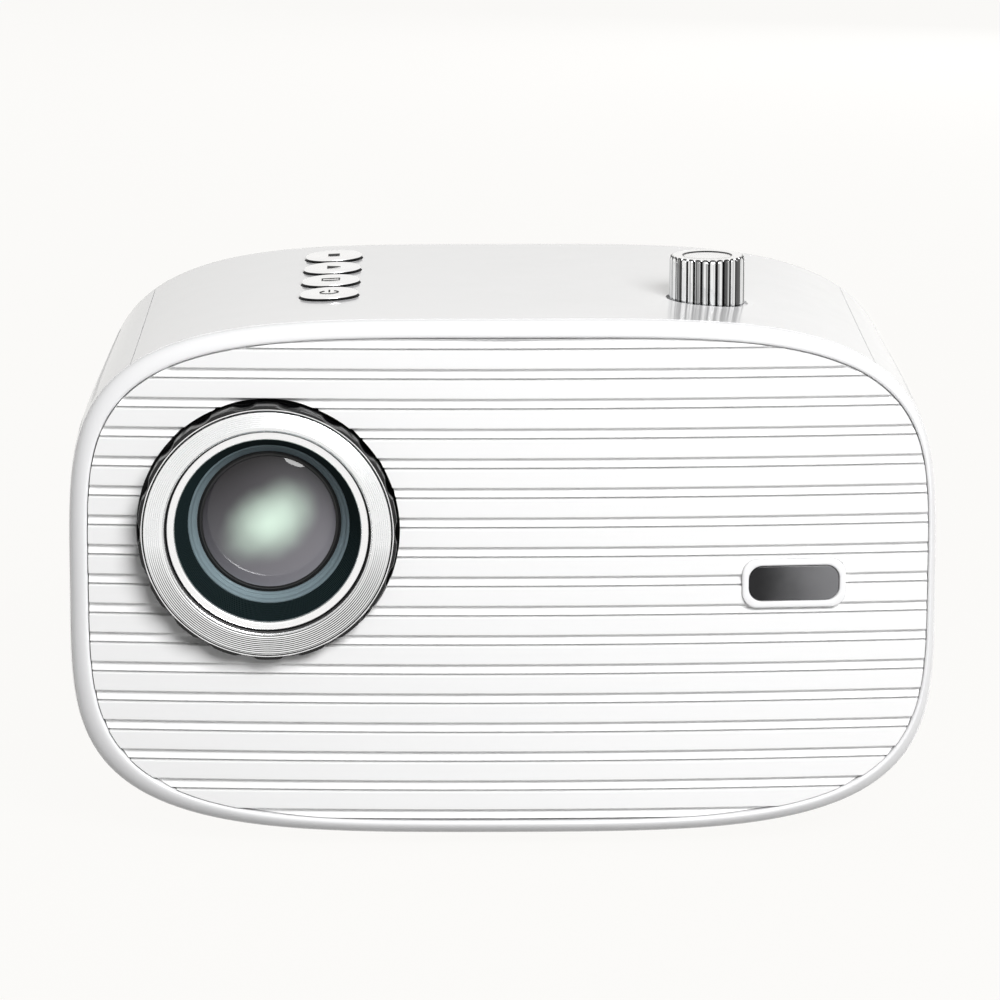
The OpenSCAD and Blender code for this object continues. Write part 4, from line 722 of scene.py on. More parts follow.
def makePanelTree():
    # rows of one strip, widened to the outline and bent to the bow
    tree, ids, v = newTree("flutedPanel", [
        ("Strip", "Object", None), ("Strips", "Int", 2),
        ("Pitch", "Float", 0.008), ("First Height", "Float", 0.0),
        ("Panel Width", "Float", 0.2), ("Panel Height", "Float", 0.1),
        ("Panel X", "Float", 0.0), ("Panel Drop", "Float", 0.0),
        ("Squareness", "Float", 4.0), ("Bow", "Float", 0.0),
        ("Body Width", "Float", 0.2), ("Front Y", "Float", 0.0),
        ("Middle Z", "Float", 0.0), ("Material", "Material", None)])
    calcChain(tree, v, [("down", "MULTIPLY", "Pitch", -1.0)])
    start = addNode(tree, "ShaderNodeCombineXYZ", {}, {2: v["First Height"]})
    step = addNode(tree, "ShaderNodeCombineXYZ", {}, {2: v["down"]})
    line = addNode(tree, "GeometryNodeMeshLine", {}, {"Count": v["Strips"],
                                                      "Start Location": start, "Offset": step})
    strip = addNode(tree, "GeometryNodeObjectInfo", {}, {0: v["Strip"]})
    rows = addNode(tree, "GeometryNodeInstanceOnPoints", {},
                   {"Points": line, "Instance": strip.outputs["Geometry"]})
    real = addNode(tree, "GeometryNodeRealizeInstances", {}, {0: rows})
    whole = addNode(tree, "GeometryNodeMergeByDistance", {"Distance": 1e-5}, {0: real})
    here = addNode(tree, "GeometryNodeInputPosition")
    split = addNode(tree, "ShaderNodeSeparateXYZ", {}, {0: here})
    v["shareX"], v["dent"], v["height"] = split.outputs[0], split.outputs[1], split.outputs[2]
    calcChain(tree, v, [
        ("fromMiddle", "ADD", "height", "Panel Drop"), ("halfH", "MULTIPLY", "Panel Height", 0.5),
        ("w", "DIVIDE", "fromMiddle", "halfH"), ("wLow", "MAXIMUM", "w", -1.0),
        ("wIn", "MINIMUM", "wLow", 1.0), ("absW", "ABSOLUTE", "wIn"),
        ("wPower", "POWER", "absW", "Squareness"), ("rest", "SUBTRACT", 1.0, "wPower"),
        ("inverse", "DIVIDE", 1.0, "Squareness"), ("widthShare", "POWER", "rest", "inverse"),
        ("halfW", "MULTIPLY", "Panel Width", 0.5), ("half", "MULTIPLY", "halfW", "widthShare"),
        ("x", "MULTIPLY_ADD", "half", "shareX", "Panel X"),
        ("twice", "MULTIPLY", "x", 2.0), ("bodyShare", "DIVIDE", "twice", "Body Width"),
        ("square", "MULTIPLY", "bodyShare", "bodyShare"), ("bowed", "MULTIPLY_ADD", "square", "Bow", "dent"),
        ("y", "ADD", "bowed", "Front Y"), ("inside", "MULTIPLY", "wIn", "halfH"),
        ("low", "SUBTRACT", "inside", "Panel Drop"), ("z", "ADD", "low", "Middle Z")])
    spot = addNode(tree, "ShaderNodeCombineXYZ", {}, {0: v["x"], 1: v["y"], 2: v["z"]})
    shaped = addNode(tree, "GeometryNodeSetPosition", {},
                     {"Geometry": whole, "Position": spot})
    tidy = addNode(tree, "GeometryNodeMergeByDistance", {"Distance": 1e-6}, {0: shaped})
    closeTree(tree, tidy, v["Material"])
    return tree, ids


def makePanel():
    # the strip: columns run from -1 to 1 as shares of the panel's half width
    band = panel.pitch - panel.groove
    rows = [[0.22 + (band - 0.38) * k / 20, 0.0] for k in range(20, 0, -1)] + grooveProfile[:-1]
    rows.append([0.22 + band - 0.38 - panel.pitch, 0.0])
    points, faces = [], []
    for height, depth in rows:
        for c in range(panel.columns + 1):
            points.append((-1 + 2 * c / panel.columns, depth * mm, height * mm))
    wide = panel.columns + 1
    for r in range(len(rows) - 1):
        for c in range(panel.columns):
            faces.append((r * wide + c, (r + 1) * wide + c, (r + 1) * wide + c + 1, r * wide + c + 1))
    strip = makeObject("strip", points, faces, None, 50, False)
    tree, ids = makePanelTree()
    piece = runTree("flutedPanel", tree, ids, {
        "Strip": strip, "Strips": panel.strips, "Pitch": panel.pitch * mm,
        "First Height": (panel.firstCrease + panel.groove) * mm,
        "Panel Width": (panelW - 2 * rim.panelGap) * mm,
        "Panel Height": (panelH - 2 * rim.panelGap) * mm,
        "Panel X": rim.panelX * mm, "Panel Drop": rim.panelDrop * mm,
        "Squareness": float(body.squareness), "Bow": float(body.frontBow) * mm,
        "Body Width": body.width * mm, "Front Y": body.frontY * mm,
        "Middle Z": body.midZ * mm, "Material": satinAbs}, 40, merge=2e-6)
    bpy.data.objects.remove(strip)
    # close the skin into a plate
    with meshEdit(piece) as work:
        bmesh.ops.dissolve_degenerate(work, dist=1e-6, edges=work.edges)
        rimEdges = [e for e in work.edges if e.is_boundary]
        grown = bmesh.ops.extrude_edge_only(work, edges=rimEdges)
        newEdges = [e for e in grown["geom"] if isinstance(e, bmesh.types.BMEdge) and e.is_boundary]
        for vert in {vert for edge in newEdges for vert in edge.verts}:
            bow = body.frontBow * (2 * vert.co.x / mm / body.width) ** 2
            vert.co.y = (body.frontY + bow + panel.thick) * mm
        bmesh.ops.holes_fill(work, edges=newEdges, sides=0)
        bmesh.ops.recalc_face_normals(work, faces=work.faces)
    return piece


flutedPanel = makePanel()
print("fluted panel:", len(flutedPanel.data.polygons), "faces")

infrared = SimpleNamespace(x=78.7, z=-2.0, width=28.3, height=13.4, band=1.8, proud=0.9, turn=3.994,
                           corner=4.15, depth=5)


def windowOutline(less, sharper):
    # the bezel's outline, smaller by this much across and at its corners
    return roundRect(infrared.width - less, infrared.height - less, infrared.corner - sharper)


def atWindow(outline, y0, y1, name, material=None, bevel=0):
    piece = prism(name, [(x, y, z) for y in (y0, y1) for x, z in outline], material)
    if bevel:
        softenEdges(piece, bevel, 4, 50)
        finishMesh(piece, material, 35, merge=0)
    bow = body.frontBow * (2 * infrared.x / body.width) ** 2
    turn = Matrix.Rotation(math.radians(infrared.turn), 4, "Z")
    piece.data.transform(Matrix.Translation(place(infrared.x, bow, infrared.z)) @ turn)
    return piece


ringHole = lathe("ringHole", [[0, -12], [panel.ringHole, -12], [panel.ringHole, 30], [0, 30]],
                 None, "lens", place(panel.ringX, 0, panel.ringZ), 256)
windowHole = atWindow(windowOutline(-0.2, -0.1), -6, 14, "windowHole")
combine(flutedPanel, [ringHole, windowHole])
finishMesh(flutedPanel, satinAbs, 38, merge=1e-6)
settle(flutedPanel, "housing", "shell_white", "ribbed_front_panel")

bezel = atWindow(windowOutline(0, 0), -infrared.proud, infrared.depth, "windowBezel", glossAbs)
inner = atWindow(windowOutline(2 * infrared.band, 0.45), -3, 8, "inner")
combine(bezel, [inner])
softenEdges(bezel, 0.55, 4, 50)
finishMesh(bezel, glossAbs, 35, merge=0)
settle(bezel, "housing", "shell_white", "ir_bezel")
window = atWindow(windowOutline(2 * infrared.band + 0.2, 0.55), -0.3, 1.7, "windowPane",
                  smokedWindow, 0.35)
settle(window, "housing", "window_smoke", "ir_window")
print("front ready")


# ---- lens and focus ring ----
lens = SimpleNamespace(x=-63.5, z=13.4, ringRadius=35, gripInner=31.15, gripFront=-3.9, gripBack=9.8,
                       scallops=18, scallopDepth=0.7, scallopRadius=9, faceInner=27.9, faceOuter=33.35,
                       faceY=-4.7, faceBack=-2.0, grooves=7, grooveDepth=0.14)
lensCentre = place(lens.x, 0, lens.z)


def makeGrip():
    # one scallop of the grip, repeated round the ring
    half = math.pi / lens.scallops
    steps = 20
    reach = lens.ringRadius + lens.scallopRadius - lens.scallopDepth
    front, back = lens.gripFront, lens.gripBack
    points = []
    for i in range(steps + 1):
        a = half * (2 * i / steps - 1)
        outer = lens.ringRadius
        inside = lens.scallopRadius ** 2 - (reach * math.sin(a)) ** 2
        if inside > 0:
            outer = min(outer, reach * math.cos(a) - math.sqrt(inside))
        outer -= 0.02
        loop = [(lens.gripInner, front + 2), (lens.gripInner, back), (outer - 0.6, back),
                (outer - 0.2, back - 0.15), (outer, back - 0.6), (outer, back - 4.5),
                (outer - 0.35, back - 4.7), (outer - 0.35, back - 5.3), (outer, back - 5.5),
                (outer, front + 0.5), (outer - 0.06, front + 0.2), (outer - 0.15, front + 0.05),
                (outer - 0.25, front), (33.9, front), (33.82, front + 0.1), (33.8, front + 2)]
        for radius, along in loop:
            points.append(Vector((radius * math.cos(a), radius * math.sin(a), along)) * mm)
    sector = makeObject("gripSector", points, quads(steps + 1, len(loop)), None, 35, False)
    return repeatAround("focusGrip", sector, lens.scallops, gripBlack, lensCentre,
                        (-math.pi / 2, 0, 0), 32)


def paintedShadeRings(name, colour, dark, first, pitch, width, roughness, centre):
    # turned metal: dark tool lines at a set spacing from the lens axis, plainest below it; the dark lines
    # are painted shade in the grooves, faded out above the axis as painted light
    material, tree, shader, where = newMaterial(name, {"Metallic": 1.0, "Roughness": roughness})
    local, _, radius = axisDistance(tree, where, centre, (1, 0, 1))
    split = addNode(tree, "ShaderNodeSeparateXYZ", {}, {0: local})
    # painted shade: a dark line at each groove's radius
    step = addNode(tree, "ShaderNodeMath", {"operation": "MULTIPLY_ADD", 1: 1 / (pitch * mm),
                                            2: -first / pitch}, {0: radius.outputs["Value"]})
    share = addNode(tree, "ShaderNodeMath", {"operation": "PINGPONG", 1: 0.5}, {0: step})
    line = addNode(tree, "ShaderNodeMapRange", {1: width * 0.4, 2: width}, {0: share})
    # painted light: the painted dark lines fade into bright metal above the axis
    fade = addNode(tree, "ShaderNodeMapRange", {1: -24 * mm, 2: -3 * mm, 3: 0.0, 4: 0.95},
                   {0: split.outputs[2]})
    keep = addNode(tree, "ShaderNodeMath", {"operation": "MAXIMUM"},
                   {0: line, 1: fade})
    noise = addNoise(tree, where, 6)
    haze = addNode(tree, "ShaderNodeMapRange", {3: roughness - 0.04, 4: roughness + 0.06},
                   {0: noise.outputs["Fac"]})
    tree.links.new(haze.outputs[0], shader.inputs["Roughness"])
    tint(tree, shader, toLinear(dark), toLinear(colour), keep)
    return material


def paintedHighlightLens(name, centre, glassRadius, lean, longSide, shortSide):
    # opaque coated glass: grey-brown base as painted shade of the dark inside, painted light paler below,
    # and a soft leaning mint bloom that is a painted highlight
    material, tree, shader, where = newMaterial(name, {
        "Roughness": 0.45, "Specular IOR Level": 0.1, "Coat Weight": 1.0, "Coat Roughness": 0.015,
        "Coat IOR": 1.38})
    local = addNode(tree, "ShaderNodeMapping", {1: [-c for c in centre]}, {0: where.outputs["Object"]})
    wobble = addNoise(tree, where, 9, 1.0)
    turned = addNode(tree, "ShaderNodeMapping", {2: (0, math.radians(lean), 0)}, {0: local})
    sized = addNode(tree, "ShaderNodeVectorMath",
                    {"operation": "MULTIPLY", 1: (1 / (longSide * mm), 0, 1 / (shortSide * mm))},
                    {0: turned})
    far = addNode(tree, "ShaderNodeVectorMath", {"operation": "LENGTH"}, {0: sized})
    shaken = addNode(tree, "ShaderNodeMath", {"operation": "MULTIPLY_ADD", 1: 0.3, 2: -0.15},
                     {0: wobble.outputs["Fac"]})
    reach = addNode(tree, "ShaderNodeMath", {"operation": "ADD"},
                    {0: far.outputs["Value"], 1: shaken})
    # painted highlight: a soft mint ellipse, its edge shaken by noise
    paintedHighlightShare = addNode(tree, "ShaderNodeMapRange", {"interpolation_type": "SMOOTHSTEP", 1: 0.0, 2: 1.32,
                                                 3: 1.0, 4: 0.0}, {0: reach})
    # painted light: the base grows paler towards the lower side
    paintedLightSlope = addNode(tree, "ShaderNodeVectorMath", {"operation": "DOT_PRODUCT", 1: (0.45, 0, -0.9)},
                   {0: local})
    down = addNode(tree, "ShaderNodeMapRange", {1: -glassRadius * mm * 0.9, 2: glassRadius * mm},
                   {0: paintedLightSlope.outputs["Value"]})
    base = addNode(tree, "ShaderNodeMix", {"data_type": "RGBA", 6: toLinear("1d1a1d"),
                                           7: toLinear("858389")}, {0: down})
    paintedLightTone = addNode(tree, "ShaderNodeMix", {"data_type": "RGBA", 7: toLinear("d9efdf")},
                   {0: paintedHighlightShare, 6: base.outputs[2]})
    tree.links.new(paintedLightTone.outputs[2], shader.inputs["Base Color"])
    return material


# Turned aluminium: bright, with painted shade as dark lines in the tool's rings, below the axis only (drawn
# coarser than real ones)
spunMetalPaintedShade = paintedShadeRings("turnedAluminium", "f6f7f8", "2c2e30", 28.9 + 0.72 * 0.5286, 0.5286, 0.3,
                            0.26, lensCentre)
# Front element: multicoated, with painted shade for the dark inside, painted light paler below and a mint
# bloom painted as a highlight
paintedHighlightGlass = paintedHighlightLens("multicoatedGlass", lensCentre, 19.3, 36, 12.4, 8.6)
# Inner elements: clear optical glass with a faint green coating
coatedGlass = makeFinish("clearOpticalGlass", "f3fffa", 0.0, extra={
    "Transmission Weight": 1.0, "IOR": 1.52})
# Blackened edge of a ground lens
blackEdge = makeFinish("blackenedLensEdge", "0c0d0e", 0.5, grain=1, mottle=0.2)

focusGrip = makeGrip()


def makeRingFace():
    # silver face with real turned grooves between a broad inner bevel and a fine outer lip
    y, inner, outer = lens.faceY, lens.faceInner, lens.faceOuter
    profile = [[inner, y + 1.1], [inner + 0.12, y + 0.75], [inner + 0.45, y + 0.42],
               [inner + 0.8, y + 0.34]]
    first, last = inner + 1.0, outer - 0.75
    pitch = (last - first) / lens.grooves
    for i in range(lens.grooves):
        r = first + pitch * i
        top = y + 0.34 - 0.24 * (r - inner) / (outer - inner)
        profile += [[r, top], [r + pitch * 0.5, top - 0.01], [r + pitch * 0.72, top + lens.grooveDepth],
                    [r + pitch * 0.95, top + 0.01]]
    profile += [[outer - 0.7, y + 0.08], [outer - 0.35, y + 0.05], [outer - 0.1, y + 0.2],
                [outer, y + 0.5], [outer, lens.faceBack], [inner, lens.faceBack]]
    face = lathe("ringFace", profile, spunMetalPaintedShade, "lens", lensCentre, 256, 25)
    # bright wire between the face and the black grip
    front = lens.gripFront
    wire = lathe("ringWire", [[33.72, front - 0.1], [33.8, front - 0.2], [33.94, front - 0.2],
                              [34.02, front - 0.1], [34.02, front + 1.2], [33.72, front + 1.2]],
                 keyChrome, "lens", lensCentre, 256, 40)
    whole = joined("ringFace", [face, wire])
    finishMesh(whole, None, 25, merge=0)
    return whole


ringFace = makeRingFace()
trim = lathe("barrelTrim", [[25.1, -0.35], [25.2, -0.62], [25.45, -0.88], [25.75, -0.98], [26.2, -0.9],
                            [26.6, -0.86], [26.9, -0.95], [27.15, -0.93], [27.38, -0.75], [27.5, -0.45],
                            [27.5, 0.5], [25.1, 0.5]], keyChrome, "lens", lensCentre, 256, 45)


def makeBarrel():
    # stepped baffle inside the mouth, then the seat of the glass and the long tube
    profile = [[25.0, 0.5], [27.3, 0.5], [27.55, 0.75], [27.55, 48.3], [27.3, 48.5], [19.5, 48.5],
               [19.5, 41.5], [17.5, 41.5], [17.5, 16.7], [22.0, 16.7], [22.0, 8.15]]
    steps = 9
    for i in range(steps):
        y = 8.0 - 7.4 * i / steps
        r = 22.0 + 2.9 * i / steps
        profile += [[r, y], [r + 0.3, y - 0.05], [r + 0.31, y - 0.3]]
    profile += [[24.95, 0.62]]
    return lathe("lensBarrel", profile, baffleBlack, "lens", lensCentre, 192, 25)


barrel = makeBarrel()
retainer = lathe("lensRetainer", [[21.9, 8.3], [21.9, 12.3], [19.6, 12.3], [19.6, 11.6], [19.75, 11.35],
                                  [20.1, 10.9], [20.15, 10.5], [20.9, 9.6], [20.95, 9.2], [21.35, 8.5],
                                  [21.6, 8.2]], tealAnodised, "lens", lensCentre, 192, 30)


def capProfile(radius, y, crown, steps=24, reverse=False):
    # profile of a spherical cap: rim at y, crown towards the front when positive
    big = (radius * radius + crown * crown) / 2 / abs(crown)
    side = 1 if crown > 0 else -1
    profile = [[radius * i / steps, y - side * (math.sqrt(big * big - (radius * i / steps) ** 2)
                                                - (big - abs(crown)))] for i in range(steps + 1)]
    return profile[::-1] if reverse else profile


def makeElement(name, front, edge, back, frontMaterial, backMaterial):
    # a lens as one closed solid with its own finish on the edge and the rear face
    piece = lathe(name, capProfile(*front) + edge + capProfile(*back, reverse=True), frontMaterial, "lens",
                  lensCentre, 128, 30)
    piece.data.materials.append(blackEdge)
    piece.data.materials.append(backMaterial)
    edgeRadius = front[0] * mm
    for face in piece.data.polygons:
        offset = face.center - lensCentre
        radius = math.hypot(offset.x, offset.z)
        if radius > edgeRadius:
            face.material_index = 1
        elif face.normal.y > 0.5:
            face.material_index = 2
    return piece


frontElement = makeElement("frontLens", (18.1, 11.97, 2.98),
                           [[18.2, 12.35], [18.55, 12.4], [18.65, 12.15], [18.8, 12.12], [19.3, 12.4],
                            [19.35, 12.7], [19.6, 12.75], [21.6, 12.42], [21.75, 12.6],
                            [21.75, 16.6], [16.4, 16.6]],
                           (16.3, 16.6, 1.5), paintedHighlightGlass, blackEdge)
middleElement = makeElement("middleLens", (17.35, 28.7, 2.5), [[17.38, 28.8], [17.38, 32.1]],
                            (17.3, 32.2, -2), coatedGlass, coatedGlass)
rearElement = makeElement("rearLens", (19.35, 43.6, 1.6), [[19.38, 43.7], [19.38, 46.8]],
                          (19.3, 46.9, -1.2), coatedGlass, coatedGlass)
settle(focusGrip, "focus_ring", "black_plastic", "focus_ring_grip")
settle(ringFace, "focus_ring", "spun_metal", "focus_ring_face")
settle(trim, "barrel", "chrome_trim", "barrel_trim")
settle(barrel, "barrel", "black_plastic", "lens_barrel")
settle(retainer, "barrel", "retainer_teal", "lens_retainer")
settle(frontElement, "barrel", "lens_glass", "front_lens")
settle(middleElement, "barrel", "lens_glass", "middle_lens")
settle(rearElement, "barrel", "lens_glass", "rear_lens")
print("lens ready")


# ---- buttons and knob ----
def paintedShadeChrome(name, low, high, colour, dark, roughness, centre):
    # chrome whose flutes hold black between two distances from the upright axis, as painted shade in the
    # flute bottoms, with painted dark reflection streaks round the axis
    material, tree, shader, where = newMaterial(name, {"Roughness": roughness})
    _, flat, radius = axisDistance(tree, where, centre, (1, 1, 0))
    # painted shade: black in the flute bottoms, where the chrome also stops being metal
    paintedGrooveShade = addNode(tree, "ShaderNodeMapRange", {1: low * mm, 2: high * mm}, {0: radius.outputs["Value"]})
    angle = addNode(tree, "ShaderNodeVectorMath", {"operation": "NORMALIZE"}, {0: flat})
    noise = addNode(tree, "ShaderNodeTexNoise", {"Scale": 7.0, "Detail": 2.0}, {"Vector": angle})
    # painted reflection: dark streaks at random angles round the axis
    paintedReflectionStreak = addNode(tree, "ShaderNodeMapRange", {1: 0.5, 2: 0.6, 3: 1.0, 4: 0.12},
                     {0: noise.outputs["Fac"]})
    shade = addNode(tree, "ShaderNodeMath", {"operation": "MULTIPLY"},
                    {0: paintedGrooveShade, 1: paintedReflectionStreak})
    tint(tree, shader, toLinear(dark), toLinear(colour), shade)
    tree.links.new(paintedGrooveShade.outputs[0], shader.inputs["Metallic"])
    return material


knobCentre = place(knob.x, knob.depth, 0)
# Bright chromium plate with painted shade in black in the bottoms of the flutes and painted dark reflection
# streaks
knobChromePaintedShade = paintedShadeChrome("flutedChromiumPlate", knob.radius - 0.34, knob.radius - 0.2, "f2f3f4",
                            "070708", 0.08, (knobCentre.x, knobCentre.y, 0))


def makeKnob():
    half = math.pi / knob.flutes
    r, top, base = knob.radius, knob.top, knob.wellZ + 0.3
    steps = 12
    levels = [(0.0, base + 4.2, 0), (r - 1.6, base + 4.2, 0), (r - 1.6, base, 0), (r - 0.75, base, 0.2),
              (r - 0.3, base + 0.12, 0.9), (r - 0.04, base + 0.4, 1), (r, base + 1.0, 1), (r, top - 1.3, 1),
              (r - 0.05, top - 0.8, 1), (r - 0.22, top - 0.42, 0.92), (r - 0.5, top - 0.16, 0.6),
              (r - 0.85, top - 0.03, 0.2), (r - 1.2, top, 0), (r * 0.68, top, 0), (r * 0.665, top - 0.06, 0),
              (r * 0.645, top - 0.3, 0), (r * 0.62, top - 0.35, 0), (r * 0.3, top - 0.36, 0),
              (0.0, top - 0.36, 0)]
    points = []
    for i in range(steps + 1):
        share = 2 * i / steps - 1
        a = half * share
        dip = max(0.0, (abs(share) - 0.48) / 0.52)
        dip = knob.flutePeak * (dip ** 1.3) + 0.12 * share * share
        for radius, z, depth in levels:
            rr = max(0.0, radius - dip * depth)
            points.append(Vector((rr * math.cos(a), rr * math.sin(a), body.midZ + z)) * mm)
    faces = quads(steps + 1, len(levels), closeRing=False)
    sector = makeObject("knobSector", points, faces, None, 35, False)
    turned = repeatAround("volumeKnob", sector, knob.flutes, knobChromePaintedShade,
                          (knobCentre.x, knobCentre.y, 0), smooth=32)
    # flat top in satin chrome, with a black line in its turned groove painted as the groove's shade
    turned.data.materials.append(keyChrome)
    turned.data.materials.append(gripBlack)
    for face in turned.data.polygons:
        distance = (face.center - knobCentre).xy.length / mm
        if face.center.z > (body.midZ + top - 0.6) * mm and distance < r - 0.72:
            face.material_index = 2 if 0.62 * r < distance < 0.665 * r else 1
    return turned


volumeKnob = makeKnob()
settle(volumeKnob, "knob", "chrome_trim", "volume_knob")


def plate(outline, z0, z1, material):
    # thin closed plate from an outline of (x, y) points in millimetres
    return prism("mark", [(x, y, z) for z in (z0, z1) for x, y in outline], material)


def bar(x, y, w, h):
    return [(x - w / 2, y - h / 2), (x + w / 2, y - h / 2), (x + w / 2, y + h / 2), (x - w / 2, y + h / 2)]


def arc(radius, width, start, end, steps=28):
    turns = [math.radians(start + (end - start) * i / steps) for i in range(steps + 1)]
    outer = [(radius * math.cos(t), radius * math.sin(t)) for t in turns]
    return outer + [(x * (1 - width / radius), y * (1 - width / radius)) for x, y in outer[::-1]]


# plain player signs in the place of the photo's own marks
keySigns = {"power": [arc(2.7, 0.5, 125, 415), bar(0, 2.2, 0.5, 2.6)],
            "source": [bar(0, 1.6, 5.2, 0.45), bar(0, -1.6, 5.2, 0.45), bar(-2.4, 0, 0.4, 2.75),
                       bar(2.4, 0, 0.4, 2.75)],
            "play": [[(-1.5, -2.0), (2.3, 0), (-1.5, 2.0)]], "stop": [bar(0, 0, 3.3, 3.3)]}


def makeButton(name, signs, index):
    # dished cap that follows the slope of the top, on a black skirt and a stem; the black skirt is painted
    # shade for the gap round the cap
    radius, collar = buttons.radius, buttons.collar
    top = body.midZ + buttons.roof + buttons.proud
    stem = body.midZ + 65.0 - top
    centre = place(buttons.x, buttons.first + index * buttons.pitch, 0)
    crown = [[0, -0.25], [2.5, -0.22], [4.2, -0.1], [5.6, 0.05], [6.3, 0.1], [6.9, 0.07], [7.35, -0.02],
             [7.7, -0.16], [7.95, -0.36], [8.08, -0.56], [radius, -0.66]]
    side = [[radius, -0.7], [radius, -4.2], [collar, -4.3], [collar, -5.0], [2.2, -5.0], [2.2, stem],
            [0, stem]]
    cap = lathe(name, [[x, top + z] for x, z in crown + side], keyChrome, "up", (0, 0, 0), 96, 40)
    cap.data.materials.append(blackAndPaintedShade)
    # painted shade: the cap's side below the crown is black
    for face in cap.data.polygons:
        if face.center.z < (top - 0.68) * mm:
            face.material_index = 1
    marks = [plate([(x, y) for x, y in sign], top - 0.5, top - 0.12, blackAndPaintedShade) for sign in signs]
    cap = joined(name, [cap] + marks)
    slope = math.tan(math.radians(buttons.tilt))
    for vert in cap.data.vertices:
        if vert.co.z > (top - 1.6) * mm:
            vert.co.z += vert.co.x * slope
    cap.data.transform(Matrix.Translation((centre.x, centre.y, 0)))
    finishMesh(cap, None, 40, merge=0)
    return cap


for index, key in enumerate(("power", "source", "play", "stop")):
    cap = makeButton(key + "Key", keySigns[key], index)
    settle(cap, key + "_key", "chrome_trim", key + "_button")
print("controls ready")


# ---- finishes by slot, for the CAD pieces and their copies ----
# Zinc-plated sheet steel: grey with a soft spangle
zincSteel = makeFinish("zincPlatedSteel", "a9acb0", 0.34, 1.0, grain=4, mottle=0.18, roughSpread=0.08,
                       bump=(2, 0.002))
# Grey moulded ABS of the inner deck
greyAbs = makeFinish("greyMouldedAbs", "8f9093", 0.45, grain=6, mottle=0.08, bump=(0.6, 0.01))
# Black engine housing, glass-filled and dull
engineBlack = makeFinish("glassFilledNylon", "17181a", 0.55, grain=1.2, mottle=0.3, bump=(0.5, 0.02))
# Extruded heat-sink aluminium, natural
extrudedAluminium = makeFinish("extrudedAluminium", "b4b7ba", 0.36, 1.0, grain=3, mottle=0.1,
                               roughSpread=0.06)
# Solder-masked board, deep green
boardGreen = makeFinish("solderMaskGreen", "1d5a37", 0.35, grain=2, mottle=0.35, bump=(1.2, 0.02))
# Brass, turned
turnedBrass = makeFinish("turnedBrass", "c8a552", 0.25, 1.0, grain=1, mottle=0.1)
# Black rubber of the feet: dull and slightly dusty
footRubber = makeFinish("blackRubber", "1b1b1c", 0.75, grain=2, mottle=0.2, bump=(0.5, 0.02))
# Treated paper of the loudspeaker cones
conePaper = makeFinish("treatedConePaper", "242427", 0.8, grain=0.8, mottle=0.3, bump=(0.3, 0.03))
# Clear acrylic of the inner optics: bright edges, nearly colourless
clearAcrylic = makeFinish("clearAcrylic", "eef6f4", 0.03, extra={"Transmission Weight": 1.0, "IOR": 1.49})
# Silvered glass of the folding mirror
silverMirror = makeFinish("silveredGlass", "e4e6e8", 0.02, 1.0, grain=9, roughSpread=0.01)
# Picture panel, dark while it is off
panelGlass = makeFinish("liquidCrystalPanel", "1a1d22", 0.08, grain=3, mottle=0.2)
# Yellow phosphor on its ceramic carrier
ledCeramic = makeFinish("phosphorCeramic", "d8c583", 0.5, grain=2, mottle=0.15, bump=(0.6, 0.01))
# Black tray moulding, fine satin
trayAbs = makeFinish("satinBlackAbs", "222224", 0.38, grain=3, mottle=0.12, bump=(0.4, 0.006))

slotFinish = {"shell_white": glossAbs, "window_smoke": smokedWindow, "black_plastic": blackAbs,
              "spun_metal": spunMetalPaintedShade, "chrome_trim": chromePlate, "retainer_teal": tealAnodised,
              "lens_glass": clearAcrylic, "mirror_face": silverMirror, "picture_panel": panelGlass,
              "engine_black": engineBlack, "led_carrier": ledCeramic, "sink_metal": extrudedAluminium,
              "sheet_steel": zincSteel, "deck_grey": greyAbs, "tray_black": trayAbs,
              "screw_brass": turnedBrass, "board_green": boardGreen, "speaker_dark": conePaper,
              "foot_rubber": footRubber}
slotOf = {name: node.material_slots[0].material.name.split(".")[0] for name, node in nodes.items()}
for name, node in nodes.items():
    for holder in node.material_slots:
        holder.material = slotFinish[slotOf[name]]
print("finishes given to the CAD pieces")


# ---- feet, screws and tripod insert ----
foot = lathe("foot", [[0, 0.5], [4.6, 0.45], [4.9, 0.12], [5.1, 0.0], [7.2, 0.0], [7.6, 0.12], [7.88, 0.45],
                      [7.97, 0.9], [7.97, 3.18], [0, 3.18]], footRubber, "up", (0, 0, 0), 96)
pair = repeatAlong("pair", foot, 2, (base.feetX[1] - base.feetX[0], 0, 0), footRubber,
                   (base.feetX[0], body.frontY + base.feetY[0], 0))
rubberFeet = repeatAlong("rubberFeet", pair, 2, (0, base.feetY[1] - base.feetY[0], 0), footRubber)
settle(rubberFeet, "housing", "foot_rubber", "rubber_feet")

low = base.recessTop - 1.6
screw = lathe("screw", [[0, low], [2.1, low], [2.6, low + 0.14], [2.9, low + 0.42], [3.0, low + 0.8],
                        [3.0, low + 1.58], [1.45, low + 1.6], [1.45, base.screwTop + 6.6],
                        [1.0, base.screwTop + 7], [0, base.screwTop + 7]], zincSteel, "up",
              (0, 0, 0), 64)
slots = [plate(bar(0, 0, *size), low - 1, low + 0.95, zincSteel) for size in ((3.4, 0.62), (0.62, 3.4))]
combine(screw, slots)
finishMesh(screw, zincSteel, 35)
rows = []
for x, height in base.screwX:
    rows.append(repeatAlong("screwRow", screw, 2, (0, base.screwY[1] - base.screwY[0], 0), zincSteel,
                            (x, body.frontY + base.screwY[0], 0), keep=True))
bpy.data.objects.remove(screw)
caseScrews = joined("caseScrews", rows)
finishMesh(caseScrews, zincSteel, 35, merge=0)
settle(caseScrews, "housing", "sheet_steel", "case_screws")

